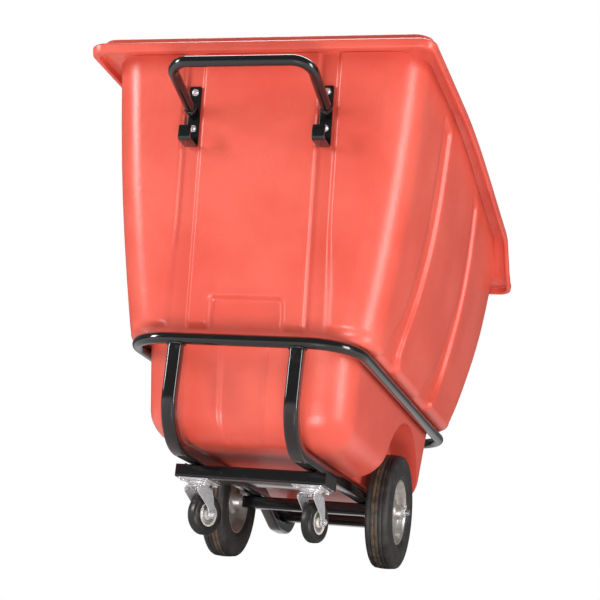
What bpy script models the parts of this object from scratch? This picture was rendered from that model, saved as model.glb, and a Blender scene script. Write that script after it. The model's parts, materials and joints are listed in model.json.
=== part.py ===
"""Tilt truck: a moulded tub in a welded tube frame, on two spoked main wheels and two swivel casters.

Units are metres, +Z is up, +Y is the dumping nose, and -Y is the end with the push handle.
The origin lies on the floor, under the middle of the whole truck's box.
"""
import math

import bmesh
import bpy
from mathutils import Matrix, Vector

# ---- driving dimensions -------------------------------------------------------------------
GAP = 0.0003                    # clearance left between two pieces that touch

AXLE_Y = 0.24235                 # main axle, forward of the middle of the truck
WHEEL_R = 0.1525                # 12 inch main wheel
WHEEL_W = 0.068
WHEEL_X = 0.2268                # middle of a main wheel
RIM_R = 0.0865                  # steel disc, where the tyre sits on it
HUB_HALF = 0.0365
AXLE_R = 0.008
AXLE_HALF = 0.283

BEAM = 0.032                    # square tube of the axle beam and the front cross tube
BEAM_HALF = 0.184
WALL = 0.0025                   # wall of the square tubes

SUPPORT_X = 0.150               # the two bent supports
SUPPORT_W = 0.034
SUPPORT_D = 0.0318

RING_R = 0.0140                 # round tube
RING_Z = 0.4225
RING_REAR = -0.754              # measured from the axle, as are all Y values up to the casters
RING_FRONT = 0.445
RING_HALF_REAR = 0.2835
RING_HALF_FRONT = 0.2735
RING_CORNER = 0.115

RAIL_Z0 = 0.1285                # rear rail that carries the casters
RAIL_Z1 = 0.1609
RAIL_Y0 = -0.540
RAIL_Y1 = -0.438
RAIL_HALF = 0.1914

TUB_WALL = 0.006
LEDGE_Z = 0.4375                # underside of the step that rests on the ring
JUNCTION_Z = 1.126              # where the wall meets the rolled rim
TUB_FLOOR = 0.2022
ARCH_R = 0.239                  # wheel arch about the axle
ARCH_X = 0.172                  # inner wall of the wheel arch
RIM_OUT = 0.040                 # nominal reach of the rim; each side scales it to its own lip
REAR_LIP = 0.070
SIDE_LIP = 0.0365
FRONT_LIP = 0.034
LIP_CORNER = 0.038
RIM_PROFILE = ((0.026, 0.003), (0.027, -0.015), (0.038, -0.016), (0.040, 0.004), (0.036, 0.010),
               (0.023, 0.015), (0.020, 0.032), (0.016, 0.036), (0.001, 0.036))      # out from the wall, up
LOWER_TAPER = 0.045             # the lower body narrows a little towards the nose, like the ring
RECESS = 0.006                  # shallow recess up the middle of the lower rear wall
PANEL = 0.011                   # raised panels stand this far proud

HANDLE_R = 0.0132
HANDLE_Y = -0.970
HANDLE_Z = 1.034
HANDLE_HALF = 0.172
HANDLE_BEND = 0.045

BRACKET_X = 0.1675
BRACKET_W = 0.031
BRACKET_T = 0.005
BRACKET_TOP = 1.048
BRACKET_LOW = 0.899

CASTER_X = 0.1444
CASTER_Y = -0.4895
CASTER_WHEEL_R = 0.0508         # 4 inch caster wheel
CASTER_WHEEL_W = 0.030
CASTER_TRAIL = 0.034
CASTER_TURN = {"left": 23.0, "right": 12.0}     # degrees that each caster is swivelled at rest

# ---- scene and materials ------------------------------------------------------------------
for old in list(bpy.data.objects):
    bpy.data.objects.remove(old, do_unlink=True)


def new_collection(name):
    """Make a collection under the scene's own."""
    made = bpy.data.collections.new(name)
    bpy.context.scene.collection.children.link(made)
    return made


PARTS = new_collection("tilt_truck")
CUTTERS = new_collection("cutters")


def new_material(name, colour, roughness, metallic):
    """Make a plain Principled material."""
    made = bpy.data.materials.new(name)
    made.use_nodes = True
    shader = made.node_tree.nodes["Principled BSDF"]
    shader.inputs["Base Color"].default_value = (*colour, 1.0)
    shader.inputs["Roughness"].default_value = roughness
    shader.inputs["Metallic"].default_value = metallic
    return made


RED = new_material("red_polyethylene", (0.80, 0.095, 0.055), 0.42, 0.0)
BLACK = new_material("black_powder_coat", (0.012, 0.012, 0.013), 0.22, 0.0)
RUBBER = new_material("black_rubber", (0.022, 0.020, 0.019), 0.62, 0.0)
ZINC = new_material("zinc_plate", (0.68, 0.70, 0.72), 0.26, 1.0)
DISC = new_material("silver_steel", (0.55, 0.52, 0.47), 0.36, 0.9)
CORE = new_material("grey_nylon", (0.62, 0.58, 0.50), 0.5, 0.0)
STEEL = new_material("bright_steel", (0.60, 0.60, 0.61), 0.24, 1.0)


# ---- modelling helpers --------------------------------------------------------------------
def keep(obj, name, material, collection=PARTS):
    """Name an object, give it its material and put it in its collection."""
    obj.name = name
    obj.data.name = name
    for owner in list(obj.users_collection):
        owner.objects.unlink(obj)
    collection.objects.link(obj)
    if material is not None:
        obj.data.materials.clear()
        obj.data.materials.append(material)
    return obj


def as_cutter(obj):
    """Mark an object as a cutter."""
    keep(obj, obj.name, None, CUTTERS)
    obj.hide_render = True
    obj.display_type = "WIRE"
    return obj


def block(name, low, high, material=None):
    """A box from its lowest to its highest corner."""
    low, high = Vector(low), Vector(high)
    bpy.ops.mesh.primitive_cube_add(size=1.0)
    obj = bpy.context.active_object
    obj.data.transform(Matrix.Diagonal((*(high - low), 1.0)))
    obj.location = (low + high) / 2
    return keep(obj, name, material)


def turn_to(axis):
    """Rotation that takes +Z to an axis."""
    return Vector((0, 0, 1)).rotation_difference(Vector(axis)).to_euler()


def rod(name, radius, start, axis, length, material=None, sides=24):
    """A cylinder from a start point along an axis."""
    axis = Vector(axis).normalized()
    bpy.ops.mesh.primitive_cylinder_add(vertices=sides, radius=radius, depth=length)
    obj = bpy.context.active_object
    obj.rotation_euler = turn_to(axis)
    obj.location = Vector(start) + axis * length / 2
    keep(obj, name, material)
    smooth(obj)
    return obj


def smooth(obj):
    """Shade the round faces smooth."""
    obj.data.shade_smooth()
    obj.data.set_sharp_from_angle(angle=math.radians(35))


def turned(name, profile, place, axis, material, steps=32, closed=True):
    """A turned solid: a profile of (radius, height) pairs, down its outer side, about an axis."""
    mesh = bpy.data.meshes.new(name)
    points = [(radius, 0.0, height) for radius, height in profile]
    edges = [(i, i + 1) for i in range(len(points) - 1)]
    if closed:
        edges.append((len(points) - 1, 0))
    mesh.from_pydata(points, edges, [])
    obj = bpy.data.objects.new(name, mesh)
    keep(obj, name, material)
    screw = obj.modifiers.new("turn", "SCREW")
    screw.axis = "Z"
    screw.angle = 2 * math.pi
    screw.steps = steps
    screw.render_steps = steps
    screw.use_merge_vertices = True
    screw.merge_threshold = 0.00005
    screw.use_normal_calculate = False
    obj.rotation_euler = turn_to(axis)
    obj.location = place
    return obj


def curve_mesh(name, splines, material, bevel=0.0, extrude=0.0, cyclic=False, resolution=3):
    """A tube or a flat outline from a poly curve, made a mesh with its caps welded."""
    data = bpy.data.curves.new(name, "CURVE")
    data.dimensions = "2D" if extrude else "3D"
    data.bevel_depth = bevel
    data.bevel_resolution = resolution
    data.extrude = extrude
    data.use_fill_caps = True
    if extrude:
        data.fill_mode = "BOTH"
    for points in splines:
        spline = data.splines.new("POLY")
        spline.points.add(len(points) - 1)
        for point, place in zip(spline.points, points):
            point.co = (*place, 1.0) if len(place) == 3 else (*place, 0.0, 1.0)
        spline.use_cyclic_u = cyclic
    source = bpy.data.objects.new(name, data)
    PARTS.objects.link(source)
    graph = bpy.context.evaluated_depsgraph_get()
    mesh = bpy.data.meshes.new_from_object(source.evaluated_get(graph))
    bpy.data.objects.remove(source, do_unlink=True)
    work = bmesh.new()
    work.from_mesh(mesh)
    bmesh.ops.remove_doubles(work, verts=work.verts, dist=0.00002)
    bmesh.ops.recalc_face_normals(work, faces=work.faces)
    work.to_mesh(mesh)
    work.free()
    obj = bpy.data.objects.new(name, mesh)
    return keep(obj, name, material)


def cut(obj, cutter):
    """Cut a cutter out of an object."""
    as_cutter(cutter)
    boolean = obj.modifiers.new("cut_" + cutter.name, "BOOLEAN")
    boolean.operation = "DIFFERENCE"
    boolean.solver = "EXACT"
    boolean.object = cutter
    return obj


def rounded_path(corners, steps=6):
    """Corner points given as (u, v, radius) joined by straight runs, each corner an arc."""
    path = []
    last = len(corners) - 1
    for index, (u, v, radius) in enumerate(corners):
        corner = Vector((u, v))
        if index in (0, last) or radius == 0.0:
            path.append(corner)
            continue
        back = (Vector(corners[index - 1][:2]) - corner).normalized()
        ahead = (Vector(corners[index + 1][:2]) - corner).normalized()
        half_turn = back.angle(ahead) / 2
        centre = corner + (back + ahead).normalized() * radius / math.sin(half_turn)
        start = corner + back * radius / math.tan(half_turn) - centre
        end = corner + ahead * radius / math.tan(half_turn) - centre
        sweep = start.angle_signed(end)
        for step in range(steps + 1):
            path.append(centre + Matrix.Rotation(-sweep * step / steps, 2) @ start)
    return path


def ribbon(path, half):
    """The outline of a strip that lies half a width to each side of a path."""
    left, right = [], []
    for index, point in enumerate(path):
        before = path[max(index - 1, 0)]
        after = path[min(index + 1, len(path) - 1)]
        into = (point - before).normalized() if index else (after - point).normalized()
        out = (after - point).normalized() if index < len(path) - 1 else into
        along = (into + out).normalized()
        side = Vector((-along.y, along.x)) * half / max(along.dot(into), 0.5)
        left.append(point + side)
        right.append(point - side)
    return left + right[::-1]


def side_plate(name, outline, width, x_middle, material):
    """A flat outline given in (Y, Z) from the axle, as wide as given along X."""
    obj = curve_mesh(name, [outline], material, extrude=width / 2, cyclic=True)
    obj.rotation_euler = (math.pi / 2, 0.0, math.pi / 2)
    obj.location = (x_middle, AXLE_Y, 0.0)
    return obj


SIDES = (("left", -1.0), ("right", 1.0))


# ---- tub ----------------------------------------------------------------------------------
def blend(value, table):
    """Read a smooth curve through a few (value, result) pairs."""
    if value <= table[0][0]:
        return table[0][1]
    for (low, first), (high, second) in zip(table, table[1:]):
        if value <= high:
            share = (value - low) / (high - low)
            return first + (second - first) * share
    return table[-1][1]


def ease(value, start, end):
    """Rise smoothly from 0 at start to 1 at end."""
    share = min(max((value - start) / (end - start), 0.0), 1.0)
    return share * share * (3 - 2 * share)


LOWER_CURVE = 0.074             # rounding between the lower walls and the tub's floor


def tuck(z):
    """How far the lower walls pull in towards the floor of the tub."""
    rise = max(TUB_FLOOR + LOWER_CURVE - z, 0.0)
    return LOWER_CURVE - math.sqrt(max(LOWER_CURVE ** 2 - rise ** 2, 0.0))


def section(z, upper):
    """Rear Y, front Y, half width, rear corner and front corner of the outside at a height."""
    if upper:
        rear = -0.632 - 0.1477 * z
        front = blend(z, ((0.45, 0.360), (0.51, 0.395), (0.615, 0.432), (0.73, 0.458), (0.82, 0.464),
                          (0.90, 0.464), (1.2, 0.464)))
        bulge = 0.010 * math.sin(math.pi * min(max((z - 0.45) / 0.68, 0.0), 1.0))
        return rear, front, 0.2624 + 0.12 * z + bulge, 0.085, blend(z, ((0.45, 0.12), (0.9, 0.065)))
    pull = tuck(z)
    rear = -0.695 + 0.20 * (LEDGE_Z - z) + pull
    front = 0.345 - 0.20 * (LEDGE_Z - z) - 0.15 * pull
    half = 0.268 - 0.05 * (LEDGE_Z - z) - pull
    corner = 0.10 - 0.35 * pull
    return rear, front, half, corner, corner


def rim_height(y):
    """Height of the rim's underside along the truck: level, then falling, then over the nose."""
    fall = 0.082 * ease(y, -0.45, 0.62) / ease(0.30, -0.45, 0.62) if y > -0.45 else 0.0
    return JUNCTION_Z - fall - 0.100 * ease(y, 0.315, 0.455)


REAR_X = (0.0, 0.070, 0.086, 0.104, 0.140, 0.150, 0.186, 0.200, 0.222)
SIDE_Y = (-0.560, -0.500, -0.476, -0.454, -0.402, -0.376, -0.270, -0.150, -0.050, 0.004, 0.026, 0.058, 0.084, 0.160)
SIDE_GROOVES = ((-0.476, -0.454, -0.402, -0.376), (0.004, 0.026, 0.058, 0.084))
CORNER_STEPS = 5


def outline_columns(rear, front, half, rear_r, front_r, upper=True):
    """Points (x, y, kind, place) of a rounded oblong, anticlockwise from the middle of the rear."""
    scale = min((half - rear_r) / 0.226, 1.0)
    right = [(x * scale, rear, "rear", x) for x in REAR_X]
    turns = [math.pi / 2 * step / CORNER_STEPS for step in range(CORNER_STEPS + 1)]
    for turn in turns:
        right.append((half - rear_r + rear_r * math.sin(turn), rear + rear_r - rear_r * math.cos(turn),
                      "rear corner", 1.0 - 2 * turn / math.pi))
    start, end = rear + rear_r, front - front_r
    right += [(half, y if upper else start + (end - start) * (y + 0.62) / 0.86, "side", y) for y in SIDE_Y]
    for turn in turns:
        right.append((half - front_r + front_r * math.cos(turn), front - front_r + front_r * math.sin(turn),
                      "front corner", 2 * turn / math.pi))
    right.append(((half - front_r) * 0.55, front, "front", 0.55))
    middle = [(0.0, front, "front", 0.0)]
    left = [(-x, y, kind, share) for x, y, kind, share in reversed(right[1:])]
    return right + middle + left


def inset_section(z, upper, inset):
    """The section's outline, moved inwards by a wall thickness."""
    rear, front, half, rear_r, front_r = section(z, upper)
    return (rear + inset, front - inset, half - inset,
            max(rear_r - inset, 0.004), max(front_r - inset, 0.004))


def rear_relief(x, z):
    """How far the rear wall's raised panels stand out from the groove floor."""
    centre = 1.0 - ease(x, 0.140, 0.150)
    outer = ease(x, 0.186, 0.200 + 0.02 * ease(0.75 - z, 0.0, 0.25))
    low = ease(z, 0.460, 0.480)
    notch = (1.0 - ease(x, 0.086, 0.104)) * (1.0 - ease(z, 0.530, 0.548))
    return PANEL * low * max(centre - notch, outer)


def side_groove(y, z):
    """How far the two upright grooves sink into each side wall."""
    depth = max(ease(y, a, b) * (1 - ease(y, c, d)) for a, b, c, d in SIDE_GROOVES)
    top = rim_height(y) - 0.040
    return 0.011 * depth * ease(z, 0.440, 0.458) * (1 - ease(z, top - 0.008, top + 0.008))


def tub_ring(z, upper, inset):
    """One ring of the tub's skin, panels and grooves included."""
    ring = []
    rear, front, *_ = section(z, upper)
    for x, y, kind, share in outline_columns(*inset_section(z, upper, inset), upper):
        if upper and kind == "rear":
            y -= rear_relief(share, z)
        elif upper and kind == "rear corner":
            y -= PANEL * ease(z, 0.460, 0.480) * share
        elif upper and kind == "side":
            x -= math.copysign(side_groove(share, z), x)
        if not upper and kind == "rear":
            y += RECESS * (1.0 - ease(share, 0.070, 0.086))
        if not upper:
            x *= 1.0 - LOWER_TAPER * (y - rear) / (front - rear)
        ring.append(Vector((x, y, z)))
    return ring


def rim_ring(out, up):
    """A ring of the rolled rim: out from the wall's top and up from the rim's underside."""
    rear, front, half, _, _ = section(JUNCTION_Z, True)
    spread = out / RIM_OUT
    outline = outline_columns(rear - REAR_LIP * spread, front + FRONT_LIP * spread, half + SIDE_LIP * spread,
                              LIP_CORNER, LIP_CORNER)
    return [Vector((x, y, rim_height(y) + up)) for x, y, _, _ in outline]


def wall_ring(share, inset):
    """A ring of the upper wall, a share of the way from the step to the rim."""
    low = LEDGE_Z + 0.020
    ring = []
    level = tub_ring(low + (JUNCTION_Z - low) * share, True, inset)
    for index, point in enumerate(level):
        height = low + (rim_height(point.y) - low) * share
        ring.append(tub_ring(height, True, inset)[index])
    return ring


WALL_SHARES = (0.0, 0.034, 0.106, 0.135, 0.30, 0.50, 0.75, 1.0)


def loft(name, rings, collection=PARTS):
    """Skin a list of rings of equal count and close both ends with a fan."""
    work = bmesh.new()
    rows = [[work.verts.new(point) for point in ring] for ring in rings]
    count = len(rows[0])
    for low, high in zip(rows, rows[1:]):
        for index in range(count):
            after = (index + 1) % count
            work.faces.new((low[index], low[after], high[after], high[index]))
    for row in (rows[0], rows[-1]):
        middle = work.verts.new(sum((vert.co for vert in row), Vector()) / count)
        for index in range(count):
            work.faces.new((row[index], row[(index + 1) % count], middle))
    bmesh.ops.remove_doubles(work, verts=work.verts, dist=0.00005)
    bmesh.ops.recalc_face_normals(work, faces=work.faces)
    mesh = bpy.data.meshes.new(name)
    work.to_mesh(mesh)
    work.free()
    obj = bpy.data.objects.new(name, mesh)
    obj.location = (0.0, AXLE_Y, 0.0)
    return keep(obj, name, RED, collection)


def arch_cutter(name, side, radius, inner_x):
    """A drum about the axle that shapes one wheel arch."""
    reach = 0.14
    start = (side * inner_x, AXLE_Y, WHEEL_R)
    return as_cutter(rod(name, radius, start, (side, 0, 0), reach, sides=40))


def build_tub():
    """The moulded tub: a thick skin with a stepped rim, panels, grooves and two wheel arches."""
    lower = [TUB_FLOOR + LOWER_CURVE * (1 - math.cos(math.radians(a))) for a in (0, 25, 45, 65, 90)]
    outer = [tub_ring(z, False, 0.0) for z in lower + [0.37, LEDGE_Z]]
    outer += [wall_ring(share, 0.0) for share in WALL_SHARES]
    outer += [rim_ring(out, up) for out, up in RIM_PROFILE]
    tub = loft("tub", outer)
    inner = [tub_ring(z, False, TUB_WALL) for z in lower + [0.37, LEDGE_Z + TUB_WALL]]
    for ring, z in zip(inner, [z + TUB_WALL for z in lower]):
        for point in ring:
            point.z = z
    inner += [wall_ring(share, TUB_WALL) for share in WALL_SHARES]
    inner += [[point + Vector((0.0, 0.0, 0.10)) for point in inner[-1]]]
    cavity = loft("tub_cavity", inner)
    for name, side in SIDES:
        cut(tub, arch_cutter("arch_" + name, side, ARCH_R, ARCH_X))
        cut(cavity, arch_cutter("arch_inside_" + name, side, ARCH_R + TUB_WALL, ARCH_X - TUB_WALL))
    cut(tub, cavity)
    return tub


# ---- frame --------------------------------------------------------------------------------
def build_ring():
    """The round tube that runs all the way round the tub, under its step."""
    corners = [(-RING_HALF_REAR, RING_REAR), (RING_HALF_REAR, RING_REAR),
               (RING_HALF_FRONT, RING_FRONT), (-RING_HALF_FRONT, RING_FRONT)]
    middle = (0.0, RING_REAR, 0.0)
    path = rounded_path([middle] + [(x, y, RING_CORNER) for x, y in (corners[1], corners[2], corners[3],
                                                                   corners[0])] + [middle], steps=7)
    points = [(point.x, point.y, 0.0) for point in path[:-1]]
    ring = curve_mesh("ring_tube", [points], BLACK, bevel=RING_R, cyclic=True, resolution=2)
    ring.location = (0.0, AXLE_Y, RING_Z)
    smooth(ring)
    return ring


def build_support(name, side):
    """One bent support: down from the ring, forward under the tub, down to a foot and up again."""
    end_z = RING_Z + 0.004
    path = rounded_path([(-0.746, end_z, 0.0), (-0.746, 0.1770, 0.118), (0.030, 0.1855, 0.08),
                         (0.200, 0.1215, 0.095), (0.325, 0.1215, 0.085), (RING_FRONT, end_z, 0.0)], steps=7)
    support = side_plate("support_" + name, ribbon(path, SUPPORT_D / 2), SUPPORT_W, side * SUPPORT_X, BLACK)
    for end, y in (("rear", RING_REAR), ("front", RING_FRONT)):
        start = (side * SUPPORT_X - 0.03, AXLE_Y + y, RING_Z)
        cut(support, rod(f"cope_{end}_{name}", RING_R + 0.0020, start, (1, 0, 0), 0.06, sides=32))
    return support


def square_tube(name, low, high, wall, material):
    """A box section tube along X, open at both ends."""
    tube = block(name, low, high, material)
    inner_low = (low[0] - 0.01, low[1] + wall, low[2] + wall)
    inner_high = (high[0] + 0.01, high[1] - wall, high[2] - wall)
    return cut(tube, block(name + "_bore", inner_low, inner_high))


def build_frame():
    """Ring, supports, rear rail, axle beam and front cross tube."""
    build_ring()
    for name, side in SIDES:
        build_support(name, side)
    square_tube("rear_rail", (-RAIL_HALF, AXLE_Y + RAIL_Y0, RAIL_Z0), (RAIL_HALF, AXLE_Y + RAIL_Y1, RAIL_Z1 - GAP),
                WALL, BLACK)
    square_tube("axle_beam", (-BEAM_HALF, AXLE_Y - BEAM / 2, WHEEL_R - BEAM / 2),
                (BEAM_HALF, AXLE_Y + BEAM / 2, WHEEL_R + BEAM / 2), WALL, BLACK)
    cross_y, cross_z = 0.250, 0.1386
    square_tube("front_cross_tube", (-0.1655, AXLE_Y + cross_y - BEAM / 2, cross_z),
                (0.1655, AXLE_Y + cross_y + BEAM / 2, cross_z + BEAM), WALL, BLACK)


# ---- handle -------------------------------------------------------------------------------
def build_handle():
    """The push handle and its two brackets, each with a hook below and two screws."""
    weld_y, weld_z = -0.7905, 0.985
    lean = (weld_z - HANDLE_Z) / (weld_y - HANDLE_Y)
    path = rounded_path([(-HANDLE_HALF, weld_y, 0.0), (-HANDLE_HALF, HANDLE_Y, HANDLE_BEND),
                         (HANDLE_HALF, HANDLE_Y, HANDLE_BEND), (HANDLE_HALF, weld_y, 0.0)], steps=7)
    points = [(point.x, point.y, HANDLE_Z + lean * (point.y - HANDLE_Y)) for point in path]
    handle = curve_mesh("handle_tube", [points], BLACK, bevel=HANDLE_R, resolution=3)
    handle.location = (0.0, AXLE_Y, 0.0)
    smooth(handle)

    def wall_y(z):
        return -0.632 - 0.1477 * z

    face = wall_y(BRACKET_LOW) - BRACKET_T / 2 - 0.0008
    top = wall_y(BRACKET_TOP) - BRACKET_T / 2 - 0.0008
    hook_reach = 0.060
    path = rounded_path([(top, BRACKET_TOP, 0.0), (face, BRACKET_LOW, 0.008),
                         (face - hook_reach, BRACKET_LOW, 0.008), (face - hook_reach, BRACKET_LOW + 0.034, 0.0)],
                        steps=4)
    tilt = Vector((0.0, -1.0, -0.1477)).normalized()
    for name, side in SIDES:
        x = side * BRACKET_X
        bracket = side_plate("handle_bracket_" + name, ribbon(path, BRACKET_T / 2), BRACKET_W, x, BLACK)
        cut(bracket, rod("leg_seat_" + name, HANDLE_R + GAP, (side * HANDLE_HALF, AXLE_Y + HANDLE_Y, HANDLE_Z),
                         (0.0, 1.0, lean), 0.30, sides=32))
        for level, z in (("upper", 1.033), ("lower", 0.944)):
            seat = Vector((x, AXLE_Y + wall_y(z) - BRACKET_T - 0.0012, z))
            screw = turned(f"handle_screw_{name}_{level}",
                           [(0.0, 0.0042), (0.0040, 0.0036), (0.0072, 0.0), (0.0, 0.0)],
                           seat, tilt, STEEL, steps=12, closed=False)
            screw.location = seat


# ---- main wheels --------------------------------------------------------------------------
def build_axle():
    """The through axle with its cross holes, and the two plugs that hold it in the beam."""
    axle = rod("axle", AXLE_R, (-AXLE_HALF, AXLE_Y, WHEEL_R), (1, 0, 0), 2 * AXLE_HALF, STEEL, sides=20)
    for name, side in SIDES:
        pin_x = side * (WHEEL_X + HUB_HALF + 0.0085)
        cut(axle, rod("pin_hole_" + name, 0.0021, (pin_x, AXLE_Y, WHEEL_R - 0.02), (0, 0, 1), 0.04, sides=12))
        inner = BEAM / 2 - WALL - GAP
        ends = sorted((side * (BEAM_HALF - 0.002), side * (BEAM_HALF - 0.022)))
        plug = block("axle_plug_" + name, (ends[0], AXLE_Y - inner, WHEEL_R - inner),
                     (ends[1], AXLE_Y + inner, WHEEL_R + inner), STEEL)
        cut(plug, rod("plug_bore_" + name, AXLE_R + GAP, (ends[0] - 0.01, AXLE_Y, WHEEL_R), (1, 0, 0), 0.05, sides=20))


def build_wheel(name, side):
    """One main wheel: tyre, dished disc with its hub, roller bearing, washers and split pin."""
    centre = (side * WHEEL_X, AXLE_Y, WHEEL_R)
    out = (side, 0.0, 0.0)
    half = WHEEL_W / 2
    tyre = [(RIM_R + GAP, 0.026), (0.100, 0.0315), (0.134, half), (0.147, 0.031), (WHEEL_R, 0.0235),
            (WHEEL_R, 0.014), (0.1495, 0.013), (0.1495, 0.010), (WHEEL_R, 0.009),
            (WHEEL_R, -0.009), (0.1495, -0.010), (0.1495, -0.013), (WHEEL_R, -0.014),
            (WHEEL_R, -0.0235), (0.147, -0.031), (0.134, -half), (0.100, -0.0315), (RIM_R + GAP, -0.026)]
    turned("wheel_tyre_" + name, tyre, centre, out, RUBBER, steps=40)
    bore = 0.0128
    disc = [(bore, HUB_HALF), (0.0195, HUB_HALF), (0.0205, 0.017), (0.036, 0.014), (0.040, 0.007),
            (0.060, 0.004), (0.073, 0.010), (0.081, 0.024), (RIM_R, 0.0275),
            (RIM_R, -0.0275), (0.081, -0.024), (0.073, -0.002), (0.060, -0.006), (0.040, -0.009),
            (0.036, -0.014), (0.0205, -0.017), (0.0195, -HUB_HALF + 0.002), (bore, -HUB_HALF + 0.002)]
    turned("wheel_disc_" + name, disc, centre, out, DISC, steps=32)
    bearing = [(AXLE_R + GAP, 0.033), (bore - GAP, 0.033), (bore - GAP, -0.033), (AXLE_R + GAP, -0.033)]
    turned("wheel_bearing_" + name, bearing, centre, out, STEEL, steps=20)
    outer_x = WHEEL_X + HUB_HALF + GAP
    washer = [(AXLE_R + GAP, 0.0025), (0.0165, 0.0025), (0.0165, 0.0), (AXLE_R + GAP, 0.0)]
    turned("axle_washer_" + name, washer, (side * outer_x, AXLE_Y, WHEEL_R), out, ZINC, steps=20)
    spacer_x = BEAM_HALF + GAP
    length = WHEEL_X - HUB_HALF + 0.002 - GAP - spacer_x
    spacer = [(AXLE_R + GAP, length), (0.0150, length), (0.0150, 0.0), (AXLE_R + GAP, 0.0)]
    turned("wheel_spacer_" + name, spacer, (side * spacer_x, AXLE_Y, WHEEL_R), out, ZINC, steps=20)
    pin_x = side * (WHEEL_X + HUB_HALF + 0.0085)
    pin = [(pin_x, AXLE_Y, WHEEL_R + 0.0145), (pin_x, AXLE_Y, WHEEL_R - 0.0125),
           (pin_x + side * 0.004, AXLE_Y, WHEEL_R - 0.0165)]
    curve_mesh("split_pin_" + name, [pin], ZINC, bevel=0.0017, resolution=1)


# ---- casters ------------------------------------------------------------------------------
def build_caster(name, side):
    """One swivel caster, turned about its kingpin by its own angle."""
    place = Vector((side * CASTER_X, AXLE_Y + CASTER_Y, 0.0))
    plate_top = RAIL_Z0 - GAP
    plate_z = plate_top - 0.003
    plate = block("caster_plate_" + name, (place.x - 0.038, place.y - 0.052, plate_z),
                  (place.x + 0.038, place.y + 0.052, plate_top), ZINC)
    for index, (dx, dy) in enumerate(((-1, -1), (1, -1), (1, 1), (-1, 1)), start=1):
        spot = Vector((place.x + dx * 0.0285, place.y + dy * 0.0405, plate_z - GAP))
        bolt = [(0.0, 0.0), (0.0070, 0.0), (0.0070, -0.0050), (0.0, -0.0050)]
        turned(f"caster_bolt_{name}_{index}", bolt, spot, (0, 0, 1), ZINC, steps=6, closed=False)
    race_top = plate_z - GAP
    race = [(0.006, race_top), (0.0275, race_top), (0.0290, race_top - 0.005), (0.0255, race_top - 0.011),
            (0.006, race_top - 0.011)]
    turned("caster_race_" + name, race, (place.x, place.y, 0.0), (0, 0, 1), ZINC, steps=24)
    fork_top = race_top - 0.011 - GAP
    turn = math.radians(CASTER_TURN[name])
    ahead = Vector((math.sin(turn), math.cos(turn), 0.0))
    across = Vector((math.cos(turn), -math.sin(turn), 0.0))
    hub = place + ahead * CASTER_TRAIL + Vector((0, 0, CASTER_WHEEL_R))
    spin = Matrix.Rotation(-turn, 4, "Z")
    thick = 0.0028
    cheek = 0.0205
    fork = block("caster_fork_" + name, (-cheek - thick, -0.026, fork_top - thick), (cheek + thick, 0.026, fork_top))
    keep(fork, "caster_fork_" + name, ZINC)
    outline = [(-0.026, fork_top - 0.0005), (0.026, fork_top - 0.0005), (0.034, fork_top - 0.018),
               (CASTER_TRAIL + 0.013, CASTER_WHEEL_R + 0.004), (CASTER_TRAIL + 0.011, CASTER_WHEEL_R - 0.010),
               (CASTER_TRAIL, CASTER_WHEEL_R - 0.014), (CASTER_TRAIL - 0.011, CASTER_WHEEL_R - 0.010),
               (-0.010, fork_top - 0.040), (-0.026, fork_top - 0.014)]
    fork.location = (place.x, place.y, fork.location.z)
    fork.rotation_euler = (0.0, 0.0, -turn)
    for index, sign in enumerate((-1, 1)):
        leg = curve_mesh(f"fork_leg_{name}_{index}", [outline], ZINC, extrude=thick / 2, cyclic=True)
        leg.matrix_world = (Matrix.Translation(place) @ spin @ Matrix.Translation((sign * (cheek + thick / 2), 0, 0))
                            @ Matrix.Rotation(math.pi / 2, 4, "Z") @ Matrix.Rotation(math.pi / 2, 4, "X"))
        as_cutter(leg)
        join = fork.modifiers.new("leg", "BOOLEAN")
        join.operation = "UNION"
        join.solver = "EXACT"
        join.object = leg
    cut(fork, rod("kingpin_hole_" + name, 0.0058, (place.x, place.y, fork_top - 0.02), (0, 0, 1), 0.04, sides=20))
    cut(fork, rod("bolt_hole_" + name, 0.0045, hub - across * 0.04, across, 0.08, sides=20))
    kingpin = [(0.0, race_top), (0.0055, race_top), (0.0055, fork_top - thick - GAP), (0.0100, fork_top - thick - GAP),
               (0.0100, fork_top - thick - 0.006), (0.0, fork_top - thick - 0.006)]
    turned("caster_kingpin_" + name, kingpin, (place.x, place.y, 0.0), (0, 0, 1), STEEL, steps=18, closed=False)
    half = CASTER_WHEEL_W / 2
    core_r = 0.0300
    tread = [(core_r + GAP, 0.0135), (0.045, half), (0.0485, 0.0125), (CASTER_WHEEL_R, 0.006),
             (CASTER_WHEEL_R, -0.006), (0.0485, -0.0125), (0.045, -half), (core_r + GAP, -0.0135)]
    turned("caster_tread_" + name, tread, hub, across, RUBBER, steps=28)
    core = [(0.0068, 0.0165), (0.0125, 0.0165), (0.0140, 0.010), (0.0235, 0.010), (0.0255, 0.0130), (core_r, 0.0135),
            (core_r, -0.0135), (0.0255, -0.0130), (0.0235, -0.010), (0.0140, -0.010), (0.0125, -0.0165),
            (0.0068, -0.0165)]
    turned("caster_core_" + name, core, hub, across, CORE, steps=24)
    bush = [(0.0045, 0.0190), (0.0065, 0.0190), (0.0065, -0.0190), (0.0045, -0.0190)]
    turned("caster_bush_" + name, bush, hub, across, STEEL, steps=16)
    outside = cheek + thick + GAP
    bolt = [(0.0, outside + 0.0100), (0.0041, outside + 0.0100), (0.0041, -outside), (0.0078, -outside),
            (0.0078, -outside - 0.0045), (0.0, -outside - 0.0045)]
    turned("caster_axle_" + name, bolt, hub, across, ZINC, steps=18, closed=False)
    nut = [(0.0051, outside + 0.0075), (0.0085, outside + 0.0075), (0.0085, outside), (0.0051, outside)]
    turned("caster_nut_" + name, nut, hub, across, ZINC, steps=6)


build_tub()
build_frame()
build_handle()
build_axle()
for side_name, sign_x in SIDES:
    build_wheel(side_name, sign_x)
    build_caster(side_name, sign_x)
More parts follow.
